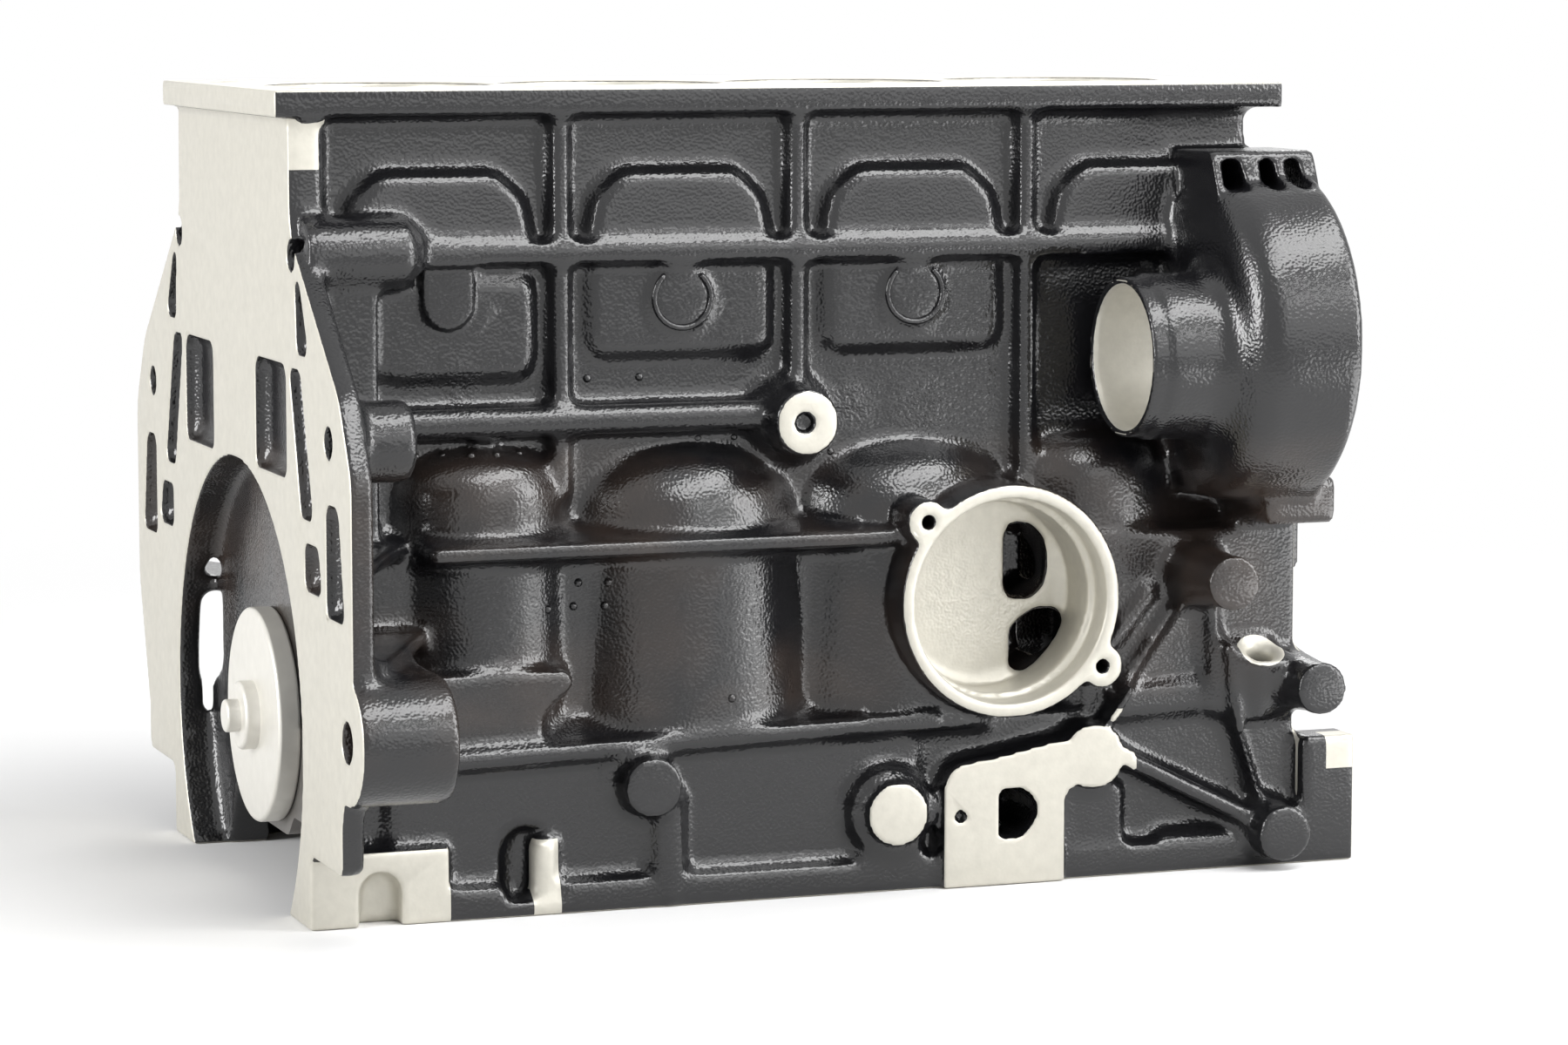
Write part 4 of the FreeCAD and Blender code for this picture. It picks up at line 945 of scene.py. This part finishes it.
class BLOCK_OT_plug_rings(bpy.types.Operator):
    """Make the raised outline around each unused core plug below the long rib"""

    bl_idname = "engine_block.plug_rings"
    bl_label = "Plug rings"

    def execute(self, context):
        coat = bpy.data.materials["casting paint"]
        wire = open_ring(PLUG_RINGS[-1][2], PLUG_RING_WIRE, PLUG_RING_GAP)
        places = [(x, RIB_Y + 0.0009, z) for x, z, _ in PLUG_RINGS[1:]]
        piece = laid_out("plug rings", wire, places, coat)
        finished(piece, "block_casting", coat)
        return {"FINISHED"}


class BLOCK_OT_bearing_caps(bpy.types.Operator):
    """Make the five main bearing caps with rounded edges"""

    bl_idname = "engine_block.bearing_caps"
    bl_label = "Bearing caps"

    def execute(self, context):
        sizes = context.scene.engine_block_pieces
        iron = plain_material("cap iron", sizes.iron, 0.8, 0.45)
        for i in range(1, len(MAIN_X) + 1):
            piece = eased_copy(f"bearing cap {i}", f"main_cap_{i}", sizes.edge)
            finished(piece, f"main_cap_{i}", iron)
        return {"FINISHED"}


class BLOCK_OT_cap_bolts(bpy.types.Operator):
    """Make the ten cap bolts: hexagon heads with a crown on plain shanks"""

    bl_idname = "engine_block.cap_bolts"
    bl_label = "Cap bolts"

    def execute(self, context):
        sizes = context.scene.engine_block_pieces
        steel = plain_material("bolt steel", sizes.bolt_steel, 0.9, 0.38)
        low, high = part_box("main_cap_bolts")
        head, radius, crown = 0.008, 0.0079, 0.0012
        shank, chamfer = 0.005, 0.0008
        top = high.z - low.z
        profile = [
            (0, 0),
            (0, radius * 0.8),
            (crown, radius),
            (head, radius),
            (head, shank),
            (top - chamfer, shank),
            (top, shank - chamfer),
            (top, 0),
        ]
        pattern = lathe("cap bolt", profile, 6)
        shaded(pattern, False)
        half = high.y - radius
        places = []
        for i in range(1, len(MAIN_X) + 1):
            cap_low, cap_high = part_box(f"main_cap_{i}")
            for side in (-1, 1):
                places.append(((cap_low.x + cap_high.x) / 2, side * half, low.z))
        piece = laid_out("cap bolts", pattern, places, steel)
        finished(piece, "main_cap_bolts", steel)
        return {"FINISHED"}


class BLOCK_OT_core_plugs(bpy.types.Operator):
    """Make the pressed cups of the far side"""

    bl_idname = "engine_block.core_plugs"
    bl_label = "Core plugs"

    def execute(self, context):
        paint = context.scene.engine_block_casting.paint
        coat = plain_material("plug paint", paint, 0.0, 0.28, 0.05)
        low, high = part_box("core_plugs")
        depth = high.y - low.y
        radius = (high.z - low.z) / 2
        wall = 0.0016
        profile = [
            (0, 0),
            (0, radius - 0.002),
            (0.0006, radius - 0.0006),
            (0.002, radius),
            (depth - 0.0004, radius),
            (depth, radius - 0.0004),
            (depth, radius - wall + 0.0003),
            (depth - 0.0005, radius - wall),
            (wall + 0.001, radius - wall),
            (wall, radius - wall - 0.001),
            (wall, 0),
        ]
        places = [(x, low.y, (low.z + high.z) / 2) for x in BORE_X]
        lying = (-math.pi / 2, 0, 0)
        piece = laid_out("core plugs", lathe("core plug", profile), places, coat, lying)
        finished(piece, "core_plugs", coat)
        return {"FINISHED"}


class BLOCK_OT_end_plug(bpy.types.Operator):
    """Make the turned plug in the rear main bearing"""

    bl_idname = "engine_block.end_plug"
    bl_label = "End plug"

    def execute(self, context):
        sizes = context.scene.engine_block_pieces
        piece = eased_copy("end plug", "end_plug", sizes.edge)
        steel = plain_material("turned steel", sizes.bright_steel, 0.45, 0.36)
        finished(piece, "end_plug", steel)
        return {"FINISHED"}


class BLOCK_OT_stage(bpy.types.Operator):
    """Set the floor, the lamps, the world and the camera"""

    bl_idname = "engine_block.stage"
    bl_label = "Stage"

    def execute(self, context):
        sizes = context.scene.engine_block_stage
        half = sizes.floor_half
        corners = [(-half, -half, 0), (half, -half, 0), (half, half, 0), (-half, half, 0)]
        mesh = bpy.data.meshes.new("floor")
        mesh.from_pydata(corners, [], [(0, 1, 2, 3)])
        floor = new_object("floor", mesh)
        material, tree, shader = new_material("floor white")
        shader.inputs["Base Color"].default_value = (*sizes.floor_colour, 1)
        shader.inputs["Roughness"].default_value = 0.9
        shader.inputs["Specular IOR Level"].default_value = 0.0
        fade_to_white(tree, shader)
        mesh.materials.append(material)
        set_world(context.scene)
        for name, setting in LAMPS.items():
            light = lamp(name, *setting)
            light.visible_camera = name != "floor card"
        data = bpy.data.cameras.new("camera")
        data.lens = sizes.lens
        data.sensor_width = 36.0
        data.clip_end = 50.0
        camera = bpy.data.objects.new("camera", data)
        context.scene.collection.objects.link(camera)
        camera.location = CAMERA_PLACE
        turn = (90 - CAMERA_DOWN, 0, CAMERA_ROUND)
        camera.rotation_euler = [math.radians(angle) for angle in turn]
        context.scene.camera = camera
        context.scene.view_settings.view_transform = "Standard"
        return {"FINISHED"}


class BLOCK_PT_panel(bpy.types.Panel):
    """Lists the pieces of the engine block"""

    bl_idname = "BLOCK_PT_panel"
    bl_label = "Engine Block"
    bl_space_type = "VIEW_3D"
    bl_region_type = "UI"
    bl_category = "Engine Block"

    def draw(self, context):
        scene = context.scene
        pieces = (scene.engine_block_casting, scene.engine_block_pieces)
        for group in (*pieces, scene.engine_block_stage):
            for name in group.__annotations__:
                self.layout.prop(group, name)
        for operator in OPERATORS:
            self.layout.operator(operator.bl_idname)


OPERATORS = (
    BLOCK_OT_casting,
    BLOCK_OT_pips,
    BLOCK_OT_plug_rings,
    BLOCK_OT_bearing_caps,
    BLOCK_OT_cap_bolts,
    BLOCK_OT_core_plugs,
    BLOCK_OT_end_plug,
    BLOCK_OT_stage,
)
CLASSES = (CastingSizes, PieceSizes, StageSizes, *OPERATORS, BLOCK_PT_panel)


def register():
    for each in CLASSES:
        bpy.utils.register_class(each)
    bpy.types.Scene.engine_block_casting = bpy.props.PointerProperty(type=CastingSizes)
    bpy.types.Scene.engine_block_pieces = bpy.props.PointerProperty(type=PieceSizes)
    bpy.types.Scene.engine_block_stage = bpy.props.PointerProperty(type=StageSizes)


def unregister():
    del bpy.types.Scene.engine_block_stage
    del bpy.types.Scene.engine_block_pieces
    del bpy.types.Scene.engine_block_casting
    for each in reversed(CLASSES):
        bpy.utils.unregister_class(each)


def main():
    """Makes every piece and the stage."""
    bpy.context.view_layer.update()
    register()
    bpy.ops.engine_block.casting()
    bpy.ops.engine_block.pips()
    bpy.ops.engine_block.plug_rings()
    bpy.ops.engine_block.bearing_caps()
    bpy.ops.engine_block.cap_bolts()
    bpy.ops.engine_block.core_plugs()
    bpy.ops.engine_block.end_plug()
    bpy.ops.engine_block.stage()


if __name__ == "__main__":
    main()
